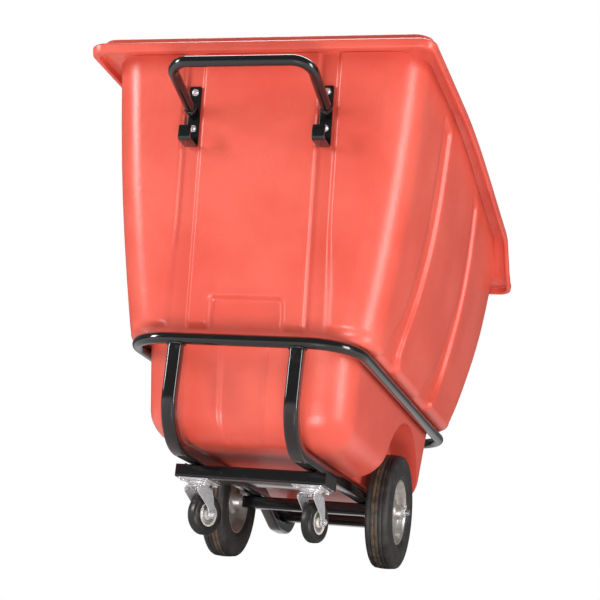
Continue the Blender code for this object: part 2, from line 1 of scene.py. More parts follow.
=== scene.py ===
"""Looks of a tilt truck: a coral tub in a gloss black tube frame, on two wheels and two casters."""
from __future__ import annotations

import json
import logging
import math
from dataclasses import dataclass, field
from enum import Enum
from typing import Iterable, Sequence

import bmesh
import bpy
from mathutils import Matrix, Vector

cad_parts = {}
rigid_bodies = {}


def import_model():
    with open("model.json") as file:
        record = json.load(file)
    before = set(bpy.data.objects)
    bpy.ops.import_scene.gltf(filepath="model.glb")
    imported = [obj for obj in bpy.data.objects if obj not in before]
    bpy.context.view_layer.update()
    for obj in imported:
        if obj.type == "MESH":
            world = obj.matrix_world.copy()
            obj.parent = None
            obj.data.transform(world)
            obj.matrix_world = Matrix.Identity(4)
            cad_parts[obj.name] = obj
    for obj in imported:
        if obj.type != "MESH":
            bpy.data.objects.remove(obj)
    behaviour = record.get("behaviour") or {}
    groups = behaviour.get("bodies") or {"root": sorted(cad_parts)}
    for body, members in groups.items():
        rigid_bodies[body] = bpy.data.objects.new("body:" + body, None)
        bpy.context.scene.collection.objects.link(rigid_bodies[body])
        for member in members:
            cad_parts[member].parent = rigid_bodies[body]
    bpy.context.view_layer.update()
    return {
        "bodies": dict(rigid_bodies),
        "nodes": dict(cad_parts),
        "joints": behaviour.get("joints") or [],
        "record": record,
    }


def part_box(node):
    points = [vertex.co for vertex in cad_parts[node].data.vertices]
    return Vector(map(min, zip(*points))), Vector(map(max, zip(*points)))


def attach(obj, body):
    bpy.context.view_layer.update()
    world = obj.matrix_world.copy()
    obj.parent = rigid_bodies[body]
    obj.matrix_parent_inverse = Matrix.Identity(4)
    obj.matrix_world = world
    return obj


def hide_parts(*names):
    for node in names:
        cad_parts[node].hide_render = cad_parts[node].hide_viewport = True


LOG = logging.getLogger("tilt_truck")
Pair = tuple[float, float]
Ring = list[Vector]


class Side(Enum):
    """The two sides of the truck, with the sign of X on each."""

    LEFT = -1.0
    RIGHT = 1.0

    @property
    def word(self) -> str:
        """The side's name as the nodes spell it."""
        return self.name.lower()


class Body(Enum):
    """The moving bodies, by the stem of their names."""

    TRUCK = "truck"
    MAIN_WHEEL = "main_wheel"
    CASTER = "caster"
    CASTER_WHEEL = "caster_wheel"

    def on(self, side: Side) -> str:
        """The body's full name on one side.

        Args:
            side: which side of the truck.

        Returns:
            The name that the frame knows.
        """
        return f"{self.value}_{side.word}"


# ---- shader building ----------------------------------------------------------------------
class Num:
    """A number socket that takes part in Python arithmetic."""

    def __init__(self, shader: Shader, socket: bpy.types.NodeSocket) -> None:
        """Keep the shader and the socket."""
        self.shader = shader
        self.socket = socket

    def math(self, operation: str, first: Num | float, second: Num | float) -> Num:
        """Add one Math node.

        Args:
            operation: the node's operation.
            first: its first value.
            second: its second value.

        Returns:
            The node's result.
        """
        return self.shader.num("ShaderNodeMath", {"operation": operation}, {0: first, 1: second})

    def __add__(self, other: Num | float) -> Num:
        """Sum."""
        return self.math("ADD", self, other)

    def __sub__(self, other: Num | float) -> Num:
        """Difference."""
        return self.math("SUBTRACT", self, other)

    def __rsub__(self, other: float) -> Num:
        """Reflected difference."""
        return self.math("SUBTRACT", other, self)

    def __mul__(self, other: Num | float) -> Num:
        """Product."""
        return self.math("MULTIPLY", self, other)

    __radd__ = __add__
    __rmul__ = __mul__

    def clear_of(self, low: float, high: float) -> Num:
        """Rise smoothly from 0 at low to 1 at high.

        Args:
            low: the value that gives 0.
            high: the value that gives 1.

        Returns:
            The eased value.
        """
        return self.shader.num("ShaderNodeMapRange", {"interpolation_type": "SMOOTHSTEP"},
                               {"Value": self, "From Min": low, "From Max": high})


class Shader:
    """One material and the calls that add nodes to it."""

    def __init__(self, name: str) -> None:
        """Start a material with its Principled shader."""
        self.material = bpy.data.materials.new(name)
        self.material.use_nodes = True
        self.nodes = self.material.node_tree.nodes
        self.links = self.material.node_tree.links
        self.surface = self.nodes["Principled BSDF"]
        self.place = self.node("ShaderNodeTexCoord", {}, {}).outputs["Object"]

    def node(self, kind: str, settings: dict, values: dict) -> bpy.types.Node:
        """Add a node, set its settings first, then its sockets.

        Args:
            kind: the node's type.
            settings: attributes of the node.
            values: socket name or number to a value, a socket or a Num.

        Returns:
            The node.
        """
        made = self.nodes.new(kind)
        for key, value in settings.items():
            setattr(made, key, value)
        for key, value in values.items():
            self.feed(made.inputs[key], value)
        return made

    def feed(self, socket: bpy.types.NodeSocket, value: object) -> None:
        """Give a socket its value or its link."""
        if isinstance(value, Num):
            self.links.new(value.socket, socket)
        elif isinstance(value, bpy.types.NodeSocket):
            self.links.new(value, socket)
        else:
            socket.default_value = value

    def num(self, kind: str, settings: dict, values: dict) -> Num:
        """Add a node and wrap its first output."""
        return Num(self, self.node(kind, settings, values).outputs[0])

    def coordinate(self, axis: int) -> Num:
        """One of the three object coordinates."""
        split = self.node("ShaderNodeSeparateXYZ", {}, {0: self.place})
        return Num(self, split.outputs[axis])

    def noise(self, scale: float, detail: float = 3.0, rough: float = 0.5, stretch: Sequence[float] = (1, 1, 1)) -> Num:
        """Fractal noise on object coordinates.

        Args:
            scale: cells per metre.
            detail: octaves.
            rough: roughness of the octaves.
            stretch: scale on each axis.

        Returns:
            The noise from 0 to 1.
        """
        spot = self.node("ShaderNodeMapping", {}, {"Vector": self.place, "Scale": tuple(stretch)}).outputs[0]
        return self.num("ShaderNodeTexNoise", {}, {"Vector": spot, "Scale": scale, "Detail": detail,
                                                   "Roughness": rough})

    def cells(self, scale: float) -> Num:
        """Distance to the nearest of scattered points, for moulded grain."""
        return self.num("ShaderNodeTexVoronoi", {"feature": "SMOOTH_F1"}, {"Vector": self.place, "Scale": scale,
                                                                          "Smoothness": 0.6})

    def mix(self, share: Num | float, first: object, second: object, blend: str = "MIX") -> bpy.types.NodeSocket:
        """Mix two colours.

        Args:
            share: how much of the second.
            first: a colour or a colour socket.
            second: a colour or a colour socket.
            blend: the way they are mixed.

        Returns:
            The mixed colour.
        """
        made = self.node("ShaderNodeMix", {"data_type": "RGBA", "blend_type": blend}, {0: share, 6: first, 7: second})
        return made.outputs[2]

    def bump(self, height: Num, distance: float, strength: float = 1.0) -> None:
        """Feed the shader's normal from a height."""
        made = self.node("ShaderNodeBump", {}, {"Height": height, "Distance": distance, "Strength": strength})
        self.links.new(made.outputs[0], self.surface.inputs["Normal"])

    def set(self, **values: object) -> None:
        """Set the shader's own sockets, with underscores for spaces."""
        for key, value in values.items():
            self.feed(self.surface.inputs[key.replace("_", " ")], value)


def tone(red: float, green: float, blue: float) -> tuple[float, float, float, float]:
    """A colour with full alpha."""
    return (red, green, blue, 1.0)


@dataclass(frozen=True)
class MouldedPlastic:
    """Semi-gloss moulded polyethylene with a fine grain."""

    colour: tuple = (0.63, 0.096, 0.064)
    deep: tuple = (0.58, 0.070, 0.044)
    roughness: float = 0.34
    grain: float = 330.0
    grain_depth: float = 0.00042

    def material(self, name: str) -> bpy.types.Material:
        """Build the material.

        Args:
            name: the material's name.

        Returns:
            The material.
        """
        shader = Shader(name)
        cloud = shader.noise(5.0, 4.0)
        fine = shader.noise(90.0, 3.0)
        grain = shader.cells(self.grain)
        body = shader.mix(cloud.clear_of(0.3, 0.7), tone(*self.deep), tone(*self.colour))
        scuffs = shader.noise(34.0, 5.0, 0.62, (1.0, 1.0, 0.22)).clear_of(0.66, 0.80)
        pale = tuple(min(1.0, channel * 0.9 + 0.10) for channel in self.colour)
        shader.set(Base_Color=shader.mix(scuffs * 0.10, body, tone(*pale)),
                   Roughness=fine * 0.10 + cloud * 0.06 + (self.roughness - 0.08),
                   Subsurface_Weight=0.06, Subsurface_Scale=0.01, IOR=1.5)
        shader.surface.inputs["Subsurface Radius"].default_value = (1.0, 0.3, 0.15)
        shader.bump(grain * 0.8 + fine * 0.5 + shader.noise(16.0, 2.0) * 3.0, self.grain_depth, 0.75)
        return shader.material


@dataclass(frozen=True)
class PowderCoat:
    """Gloss black powder coat with orange peel and dusty, worn spots."""

    colour: tuple = (0.0042, 0.0042, 0.0046)
    worn: tuple = (0.045, 0.043, 0.040)
    roughness: float = 0.13

    def material(self, name: str) -> bpy.types.Material:
        """Build the material.

        Args:
            name: the material's name.

        Returns:
            The material.
        """
        shader = Shader(name)
        dust = shader.noise(24.0, 6.0, 0.66).clear_of(0.60, 0.78)
        peel = shader.noise(260.0, 2.0)
        shader.set(Base_Color=shader.mix(dust * 0.5, tone(*self.colour), tone(*self.worn)),
                   Roughness=dust * 0.30 + peel * 0.04 + self.roughness,
                   Coat_Weight=0.5, Coat_Roughness=0.06)
        shader.bump(peel + shader.noise(900.0, 1.0) * 0.3, 0.00012, 0.5)
        return shader.material


@dataclass(frozen=True)
class Rubber:
    """Black moulded rubber with patches of road dust."""

    colour: tuple = (0.014, 0.0135, 0.013)
    dusty: tuple = (0.085, 0.078, 0.070)
    roughness: float = 0.52
    dust: float = 0.35
    stripe: Pair | None = None
    earth: tuple = (0.115, 0.078, 0.048)

    def material(self, name: str) -> bpy.types.Material:
        """Build the material.

        Args:
            name: the material's name.

        Returns:
            The material.
        """
        shader = Shader(name)
        patch = shader.noise(30.0, 6.0, 0.62).clear_of(0.45, 0.75)
        fine = shader.noise(420.0, 4.0)
        base = shader.mix(patch * self.dust, tone(*self.colour), tone(*self.dusty))
        if self.stripe:
            across = shader.coordinate(0)
            square = across * across
            low, high = (edge ** 2 for edge in self.stripe)
            band = square.clear_of(low - 0.0016, low + 0.0010) * (1.0 - square.clear_of(high - 0.0012, high + 0.0016))
            patchy = shader.noise(46.0, 5.0, 0.6).clear_of(0.30, 0.62) * 0.75
            base = shader.mix(band * patchy, base, tone(*self.earth))
        shader.set(Base_Color=base,
                   Roughness=fine * 0.14 + patch * 0.10 + (self.roughness - 0.08), Specular_IOR_Level=0.45)
        shader.bump(fine + shader.noise(1500.0, 2.0) * 0.5, 0.00022, 0.5)
        return shader.material


@dataclass(frozen=True)
class PlatedMetal:
    """Bright plated or bare metal with a brushed or clouded sheen."""

    colour: tuple = (0.74, 0.75, 0.77)
    stain: tuple = (0.46, 0.45, 0.43)
    roughness: float = 0.20
    brushed: float = 1.0
    metallic: float = 1.0

    def material(self, name: str) -> bpy.types.Material:
        """Build the material.

        Args:
            name: the material's name.

        Returns:
            The material.
        """
        shader = Shader(name)
        cloud = shader.noise(70.0, 5.0, 0.6).clear_of(0.40, 0.72)
        lines = shader.noise(160.0, 3.0, 0.5, (1.0, 1.0, 9.0 * self.brushed))
        shader.set(Base_Color=shader.mix(cloud * 0.55, tone(*self.colour), tone(*self.stain)),
                   Roughness=cloud * 0.14 + lines * 0.10 + self.roughness, Metallic=self.metallic)
        shader.bump(lines + cloud * 0.4, 0.00006, 0.6)
        return shader.material


@dataclass(frozen=True)
class SilverLacquer:
    """Silver lacquer on pressed steel, with cloudy dusty patches and rust specks."""

    colour: tuple = (0.50, 0.485, 0.455)
    grime: tuple = (0.20, 0.165, 0.125)
    rust: tuple = (0.20, 0.085, 0.035)
    roughness: float = 0.36

    def material(self, name: str) -> bpy.types.Material:
        """Build the material.

        Args:
            name: the material's name.

        Returns:
            The material.
        """
        shader = Shader(name)
        cloud = shader.noise(26.0, 6.0, 0.62)
        specks = shader.noise(230.0, 4.0, 0.7).clear_of(0.66, 0.74)
        base = shader.mix(cloud.clear_of(0.42, 0.70) * 0.65, tone(*self.colour), tone(*self.grime))
        shader.set(Base_Color=shader.mix(specks * 0.6, base, tone(*self.rust)),
                   Roughness=cloud * 0.18 + specks * 0.2 + (self.roughness - 0.06), Metallic=0.75)
        shader.bump(shader.noise(300.0, 3.0) + cloud * 0.6, 0.00012, 0.6)
        return shader.material


@dataclass
class Palette:
    """Every finish of the truck, built once."""

    coral: bpy.types.Material = field(init=False)
    black: bpy.types.Material = field(init=False)
    weld: bpy.types.Material = field(init=False)
    tyre: bpy.types.Material = field(init=False)
    cap: bpy.types.Material = field(init=False)
    tread: bpy.types.Material = field(init=False)
    zinc: bpy.types.Material = field(init=False)
    steel: bpy.types.Material = field(init=False)
    silver: bpy.types.Material = field(init=False)
    nylon: bpy.types.Material = field(init=False)

    def __post_init__(self) -> None:
        """Build the materials."""
        self.coral = MouldedPlastic().material("coral_polyethylene")
        self.black = PowderCoat().material("gloss_black_coat")
        self.weld = PowderCoat(roughness=0.26).material("coated_weld")
        self.tyre = Rubber(stripe=(0.213, 0.229)).material("tyre_rubber")
        self.cap = Rubber(dust=0.10, roughness=0.45).material("end_cap_rubber")
        self.tread = Rubber(dust=0.12, roughness=0.30).material("caster_tread_rubber")
        self.zinc = PlatedMetal(colour=(0.80, 0.81, 0.83), roughness=0.15, metallic=0.72).material("zinc_plating")
        self.steel = PlatedMetal(colour=(0.60, 0.60, 0.61), stain=(0.33, 0.31, 0.29),
                                 roughness=0.26).material("bare_steel")
        self.silver = SilverLacquer().material("silver_lacquer")
        self.nylon = MouldedPlastic(colour=(0.60, 0.57, 0.50), deep=(0.46, 0.43, 0.37), roughness=0.45,
                                    grain=500.0, grain_depth=0.0001).material("grey_nylon")


# ---- shape building -----------------------------------------------------------------------
def ease(value: float, start: float, end: float) -> float:
    """Rise smoothly from 0 at start to 1 at end."""
    share = min(max((value - start) / (end - start), 0.0), 1.0)
    return share * share * (3 - 2 * share)


def spread(start: float, end: float, count: int) -> list[float]:
    """Evenly spaced values, both ends included."""
    return [start + (end - start) * index / (count - 1) for index in range(count)]


def soften(corners: Sequence[tuple], steps: int = 4, closed: bool = False) -> list[Vector]:
    """Round the corners of a flat outline.

    Args:
        corners: (u, v, radius) of each corner.
        steps: pieces in each arc.
        closed: whether the outline joins up.

    Returns:
        The outline's points.
    """
    path: list[Vector] = []
    count = len(corners)
    for index, (u, v, radius) in enumerate(corners):
        corner = Vector((u, v))
        if radius == 0.0 or (not closed and index in (0, count - 1)):
            path.append(corner)
            continue
        before = Vector(corners[index - 1][:2]) - corner
        after = Vector(corners[(index + 1) % count][:2]) - corner
        half = before.angle(after) / 2
        reach = min(radius / math.tan(half), 0.49 * before.length, 0.49 * after.length)
        radius = reach * math.tan(half)
        centre = corner + (before.normalized() + after.normalized()).normalized() * radius / math.sin(half)
        start = corner + before.normalized() * reach - centre
        end = corner + after.normalized() * reach - centre
        sweep = start.angle_signed(end)
        path += [centre + Matrix.Rotation(-sweep * step / steps, 2) @ start for step in range(steps + 1)]
    return path


def rounded_box(width: float, depth: float, radius: float, steps: int = 4) -> list[Vector]:
    """A rounded rectangle about the origin, anticlockwise."""
    half_w, half_d = width / 2, depth / 2
    return soften([(-half_w, -half_d, radius), (half_w, -half_d, radius), (half_w, half_d, radius),
                   (-half_w, half_d, radius)], steps, closed=True)


def circle(radius: float, count: int = 28) -> list[Vector]:
    """A round outline about the origin, anticlockwise."""
    return [Vector((radius * math.cos(2 * math.pi * i / count), radius * math.sin(2 * math.pi * i / count)))
            for i in range(count)]


class Sheet:
    """A mesh under construction, skinned from rings of equal count."""

    def __init__(self) -> None:
        """Start an empty mesh."""
        self.work = bmesh.new()

    def skin(self, rings: Sequence[Ring], joined: bool = False, capped: bool = True, round_ring: bool = True) -> Sheet:
        """Add a skin over rings of points.

        Args:
            rings: the rings, each with the same count of points.
            joined: whether the last ring joins the first.
            capped: whether both open ends get a face.
            round_ring: whether each ring closes on itself.

        Returns:
            This mesh, for the next call.
        """
        rows = [[self.work.verts.new(point) for point in ring] for ring in rings]
        count = len(rows[0])
        pairs = list(zip(rows, rows[1:])) + ([(rows[-1], rows[0])] if joined else [])
        for low, high in pairs:
            for index in range(count if round_ring else count - 1):
                after = (index + 1) % count
                self.work.faces.new((low[index], low[after], high[after], high[index]))
        if capped and not joined:
            for row in (rows[0], rows[-1]):
                self.work.faces.new(row)
        return self

    def plug(self, ring: Ring) -> Sheet:
        """Close a ring with a fan from its middle."""
        middle = self.work.verts.new(sum(ring, Vector()) / len(ring))
        edge = [self.work.verts.new(point) for point in ring]
        for index in range(len(ring)):
            self.work.faces.new((edge[index], edge[(index + 1) % len(ring)], middle))
        return self

    def mesh(self, name: str, matrix: Matrix | None = None, angle: float = 32.0) -> bpy.types.Object:
        """Close the work and make an object of it.

        Args:
            name: the object's name.
            matrix: where to move the mesh.
            angle: edges sharper than this, in degrees, stay sharp.

        Returns:
            The object, at the origin.
        """
        bmesh.ops.remove_doubles(self.work, verts=self.work.verts, dist=0.00002)
        bmesh.ops.recalc_face_normals(self.work, faces=self.work.faces)
        if matrix is not None:
            self.work.transform(matrix)
        data = bpy.data.meshes.new(name)
        self.work.to_mesh(data)
        self.work.free()
        made = bpy.data.objects.new(name, data)
        bpy.context.scene.collection.objects.link(made)
        data.shade_smooth()
        data.set_sharp_from_angle(angle=math.radians(angle))
        return made


def swept(path: Sequence[Vector], flat: Vector, outline: Sequence[Vector], closed: bool = False) -> list[Ring]:
    """Rings of an outline carried along a path that lies in one plane.

    Args:
        path: the path's points.
        flat: the plane's normal.
        outline: points (u, v), u towards the inside of the plane and v along its normal.
        closed: whether the path joins up.

    Returns:
        The rings.
    """
    rings = []
    count = len(path)
    for index, point in enumerate(path):
        ahead = path[(index + 1) % count] if closed or index < count - 1 else point
        behind = path[index - 1] if closed or index > 0 else point
        into = (point - behind).normalized() if behind != point else (ahead - point).normalized()
        away = (ahead - point).normalized() if ahead != point else into
        along = (into + away).normalized()
        across = flat.cross(along).normalized() / max(along.dot(into), 0.5)
        rings.append([point + across * spot.x + flat * spot.y for spot in outline])
    return rings


def turned(profile: Sequence[Vector], steps: int = 64) -> list[Ring]:
    """Rings of a turned shape about Z from (radius, height) points."""
    return [[Vector((spot.x * math.cos(turn), spot.x * math.sin(turn), spot.y)) for spot in profile]
            for turn in (2 * math.pi * step / steps for step in range(steps))]


def lathe(name: str, corners: Sequence[tuple], matrix: Matrix, steps: int = 64, arc: int = 4,
          solid: bool = True) -> bpy.types.Object:
    """A turned piece from a profile with rounded corners.

    Args:
        name: the object's name.
        corners: (radius, height, corner radius) down its profile.
        matrix: where it goes, its axis along Z before.
        steps: facets round it.
        arc: pieces in each rounded corner.
        solid: whether the profile closes on itself; else its ends lie on the axis.

    Returns:
        The object.
    """
    rings = turned(soften(corners, arc, closed=solid), steps)
    return Sheet().skin(rings, joined=True, round_ring=solid).mesh(name, matrix)


def slab(name: str, outline: Sequence[Vector], thickness: float, matrix: Matrix, edge: float = 0.0) -> bpy.types.Object:
    """A flat outline given a thickness along Z, its rims eased.

    Args:
        name: the object's name.
        outline: its points.
        thickness: how thick.
        matrix: where it goes.
        edge: radius of the eased rims.

    Returns:
        The object.
    """
    rings = [[Vector((spot.x, spot.y, height)) for spot in outline] for height in (-thickness / 2, thickness / 2)]
    made = Sheet().skin(rings).mesh(name, matrix)
    if edge > 0.0:
        ease_edges(made, edge)
    return made


def ease_edges(piece: bpy.types.Object, width: float, segments: int = 2) -> None:
    """Round the sharp edges of a piece with a Bevel."""
    bevel = piece.modifiers.new("eased", "BEVEL")
    bevel.width = width
    bevel.segments = segments
    bevel.limit_method = "ANGLE"
    bevel.angle_limit = math.radians(35)
    bevel.harden_normals = True


def aim(place: Vector, axis: Vector) -> Matrix:
    """The matrix that takes +Z to an axis and the origin to a place."""
    turn = Vector((0, 0, 1)).rotation_difference(axis.normalized()).to_matrix().to_4x4()
    return Matrix.Translation(place) @ turn


def centre_of(node: str) -> Vector:
    """The middle of a CAD node's box."""
    low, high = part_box(node)
    return (low + high) / 2


class Maker:
    """Shared calls of the sub-assemblies: dressing a piece and reporting it."""

    def __init__(self, palette: Palette) -> None:
        """Keep the palette."""
        self.palette = palette

    def place(self, piece: bpy.types.Object, body: str, material: bpy.types.Material, slot: str,
              replaces: Iterable[str] = ()) -> bpy.types.Object:
        """Dress a piece, tie it to its body and report it.

        Args:
            piece: the piece, at the origin.
            body: the body it rides on.
            material: its finish.
            slot: the record's material slot; not used.
            replaces: the CAD nodes it stands for.

        Returns:
            The piece.
        """
        piece.data.materials.clear()
        piece.data.materials.append(material)
        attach(piece, body)
        if replaces:
            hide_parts(*replaces)
        LOG.info("%s rides %s", piece.name, body)
        return piece

    def dress(self, frame: dict, material: bpy.types.Material, *nodes: str) -> None:
        """Give CAD nodes that stay their finish.

        Args:
            frame: the loaded frame.
            material: the finish.
            nodes: names of the nodes.
        """
        for node in nodes:
            data = frame["nodes"][node].data
            data.materials.clear()
            data.materials.append(material)
            data.set_sharp_from_angle(angle=math.radians(30))
            LOG.info("%s dressed", node)


# ---- repeats by Geometry Nodes ------------------------------------------------------------
class Tree:
    """A Geometry Nodes tree with named inputs."""

    def __init__(self, name: str) -> None:
        """Start a tree with its geometry in and out."""
        self.group = bpy.data.node_groups.new(name, "GeometryNodeTree")
        self.group.interface.new_socket("Geometry", in_out="INPUT", socket_type="NodeSocketGeometry")
        self.group.interface.new_socket("Geometry", in_out="OUTPUT", socket_type="NodeSocketGeometry")
        self.entry: bpy.types.Node | None = None

    def inputs(self, **sizes: float | int | bpy.types.Material | bpy.types.Object) -> None:
        """Args:
            sizes: the input's name to its value.
        """
        kinds = {float: "NodeSocketFloat", int: "NodeSocketInt", bpy.types.Material: "NodeSocketMaterial",
                 bpy.types.Object: "NodeSocketObject"}
        self.values = {}
        for key, value in sizes.items():
            made = self.group.interface.new_socket(key, in_out="INPUT", socket_type=kinds[type(value)])
            self.values[made.identifier] = value
        self.entry = self.group.nodes.new("NodeGroupInput")

    def __getitem__(self, name: str) -> bpy.types.NodeSocket:
        """The socket of a named input."""
        return self.entry.outputs[name]

    def add(self, kind: str, settings: dict, values: dict) -> bpy.types.Node:
        """Add a node with its settings and sockets.

        Args:
            kind: the node's type.
            settings: attributes of the node.
            values: socket name or number to a value or a socket.

        Returns:
            The node.
        """
        made = self.group.nodes.new(kind)
        for key, value in settings.items():
            setattr(made, key, value)
        for key, value in values.items():
            if isinstance(value, bpy.types.NodeSocket):
                self.group.links.new(value, made.inputs[key])
            else:
                made.inputs[key].default_value = value
        return made

    def close(self, socket: bpy.types.NodeSocket) -> None:
        """Realize the instances, set the finish and end the tree."""
        real = self.add("GeometryNodeRealizeInstances", {}, {0: socket})
        finish = self.add("GeometryNodeSetMaterial", {}, {0: real.outputs[0], "Material": self["Finish"]})
        self.add("NodeGroupOutput", {}, {0: finish.outputs[0]})

    def run(self, name: str, base: bpy.types.Mesh) -> bpy.types.Object:
        """Run the tree on a mesh and keep the result as a plain mesh.

        Args:
            name: the new object's name.
            base: the mesh the tree starts from.

        Returns:
            The object, with no modifier left on it.
        """
        holder = bpy.data.objects.new(name + "_holder", base)
        bpy.context.scene.collection.objects.link(holder)
        modifier = holder.modifiers.new("tree", "NODES")
        modifier.node_group = self.group
        for identifier, value in self.values.items():
            modifier[identifier] = value
        graph = bpy.context.evaluated_depsgraph_get()
        data = bpy.data.meshes.new_from_object(holder.evaluated_get(graph))
        bpy.data.objects.remove(holder, do_unlink=True)
        made = bpy.data.objects.new(name, data)
        data.name = name
        bpy.context.scene.collection.objects.link(made)
        data.shade_smooth()
        data.set_sharp_from_angle(angle=math.radians(32))
        return made


def line_mesh(points: Sequence[Vector], closed: bool = False) -> bpy.types.Mesh:
    """A mesh of points joined by edges."""
    data = bpy.data.meshes.new("line")
    edges = [(i, i + 1) for i in range(len(points) - 1)]
    if closed:
        edges.append((len(points) - 1, 0))
    data.from_pydata([tuple(point) for point in points], edges, [])
    return data


def weld_bead(name: str, points: Sequence[Vector], radius: float, finish: bpy.types.Material,
              closed: bool = False) -> bpy.types.Object:
    """A rippled weld bead along a path.

    Args:
        name: the object's name.
        points: the path.
        radius: the bead's radius.
        finish: its material.
        closed: whether the path joins up.

    Returns:
        The bead as a plain mesh.
    """
    tree = Tree("weld_bead")
    tree.inputs(Radius=radius, Pitch=radius * 0.55, Finish=finish)
    curve = tree.add("GeometryNodeMeshToCurve", {}, {0: tree["Geometry"]})
    even = tree.add("GeometryNodeResampleCurve", {"mode": "LENGTH"}, {0: curve.outputs[0], "Length": tree["Pitch"]})
    index = tree.add("GeometryNodeInputIndex", {}, {})
    phase = tree.add("ShaderNodeMath", {"operation": "MULTIPLY"}, {0: index.outputs[0], 1: 2.2})
    wave = tree.add("ShaderNodeMath", {"operation": "SINE"}, {0: phase.outputs[0]})
    swell = tree.add("ShaderNodeMath", {"operation": "MULTIPLY_ADD"}, {0: wave.outputs[0], 1: 0.16, 2: 0.9})
    ring = tree.add("GeometryNodeCurvePrimitiveCircle", {"mode": "RADIUS"}, {"Resolution": 8, "Radius": tree["Radius"]})
    values = {0: even.outputs[0], "Profile Curve": ring.outputs[0], "Fill Caps": True}
    solid = tree.add("GeometryNodeCurveToMesh", {}, values)
    if "Scale" in solid.inputs:
        tree.group.links.new(swell.outputs[0], solid.inputs["Scale"])
    tree.close(solid.outputs[0])
    return tree.run(name, line_mesh(points, closed))


def repeated(name: str, spots: Sequence[Vector], unit: bpy.types.Object, scale: float,
             finish: bpy.types.Material) -> bpy.types.Object:
    """Copies of a unit at a set of points.

    Args:
        name: the object's name.
        spots: where each copy goes.
        unit: the object that is copied; it is removed.
        scale: its size.
        finish: the material of all copies.

    Returns:
        The copies as one plain mesh.
    """
    tree = Tree("repeated")
    tree.inputs(Scale=scale, Unit=unit, Finish=finish)
    source = tree.add("GeometryNodeObjectInfo", {}, {"Object": tree["Unit"]})
    copies = tree.add("GeometryNodeInstanceOnPoints", {}, {"Points": tree["Geometry"],
                                                           "Instance": source.outputs["Geometry"],
                                                           "Scale": tree["Scale"]})
    tree.close(copies.outputs[0])
    made = tree.run(name, line_mesh(spots))
    bpy.data.objects.remove(unit, do_unlink=True)
    return made


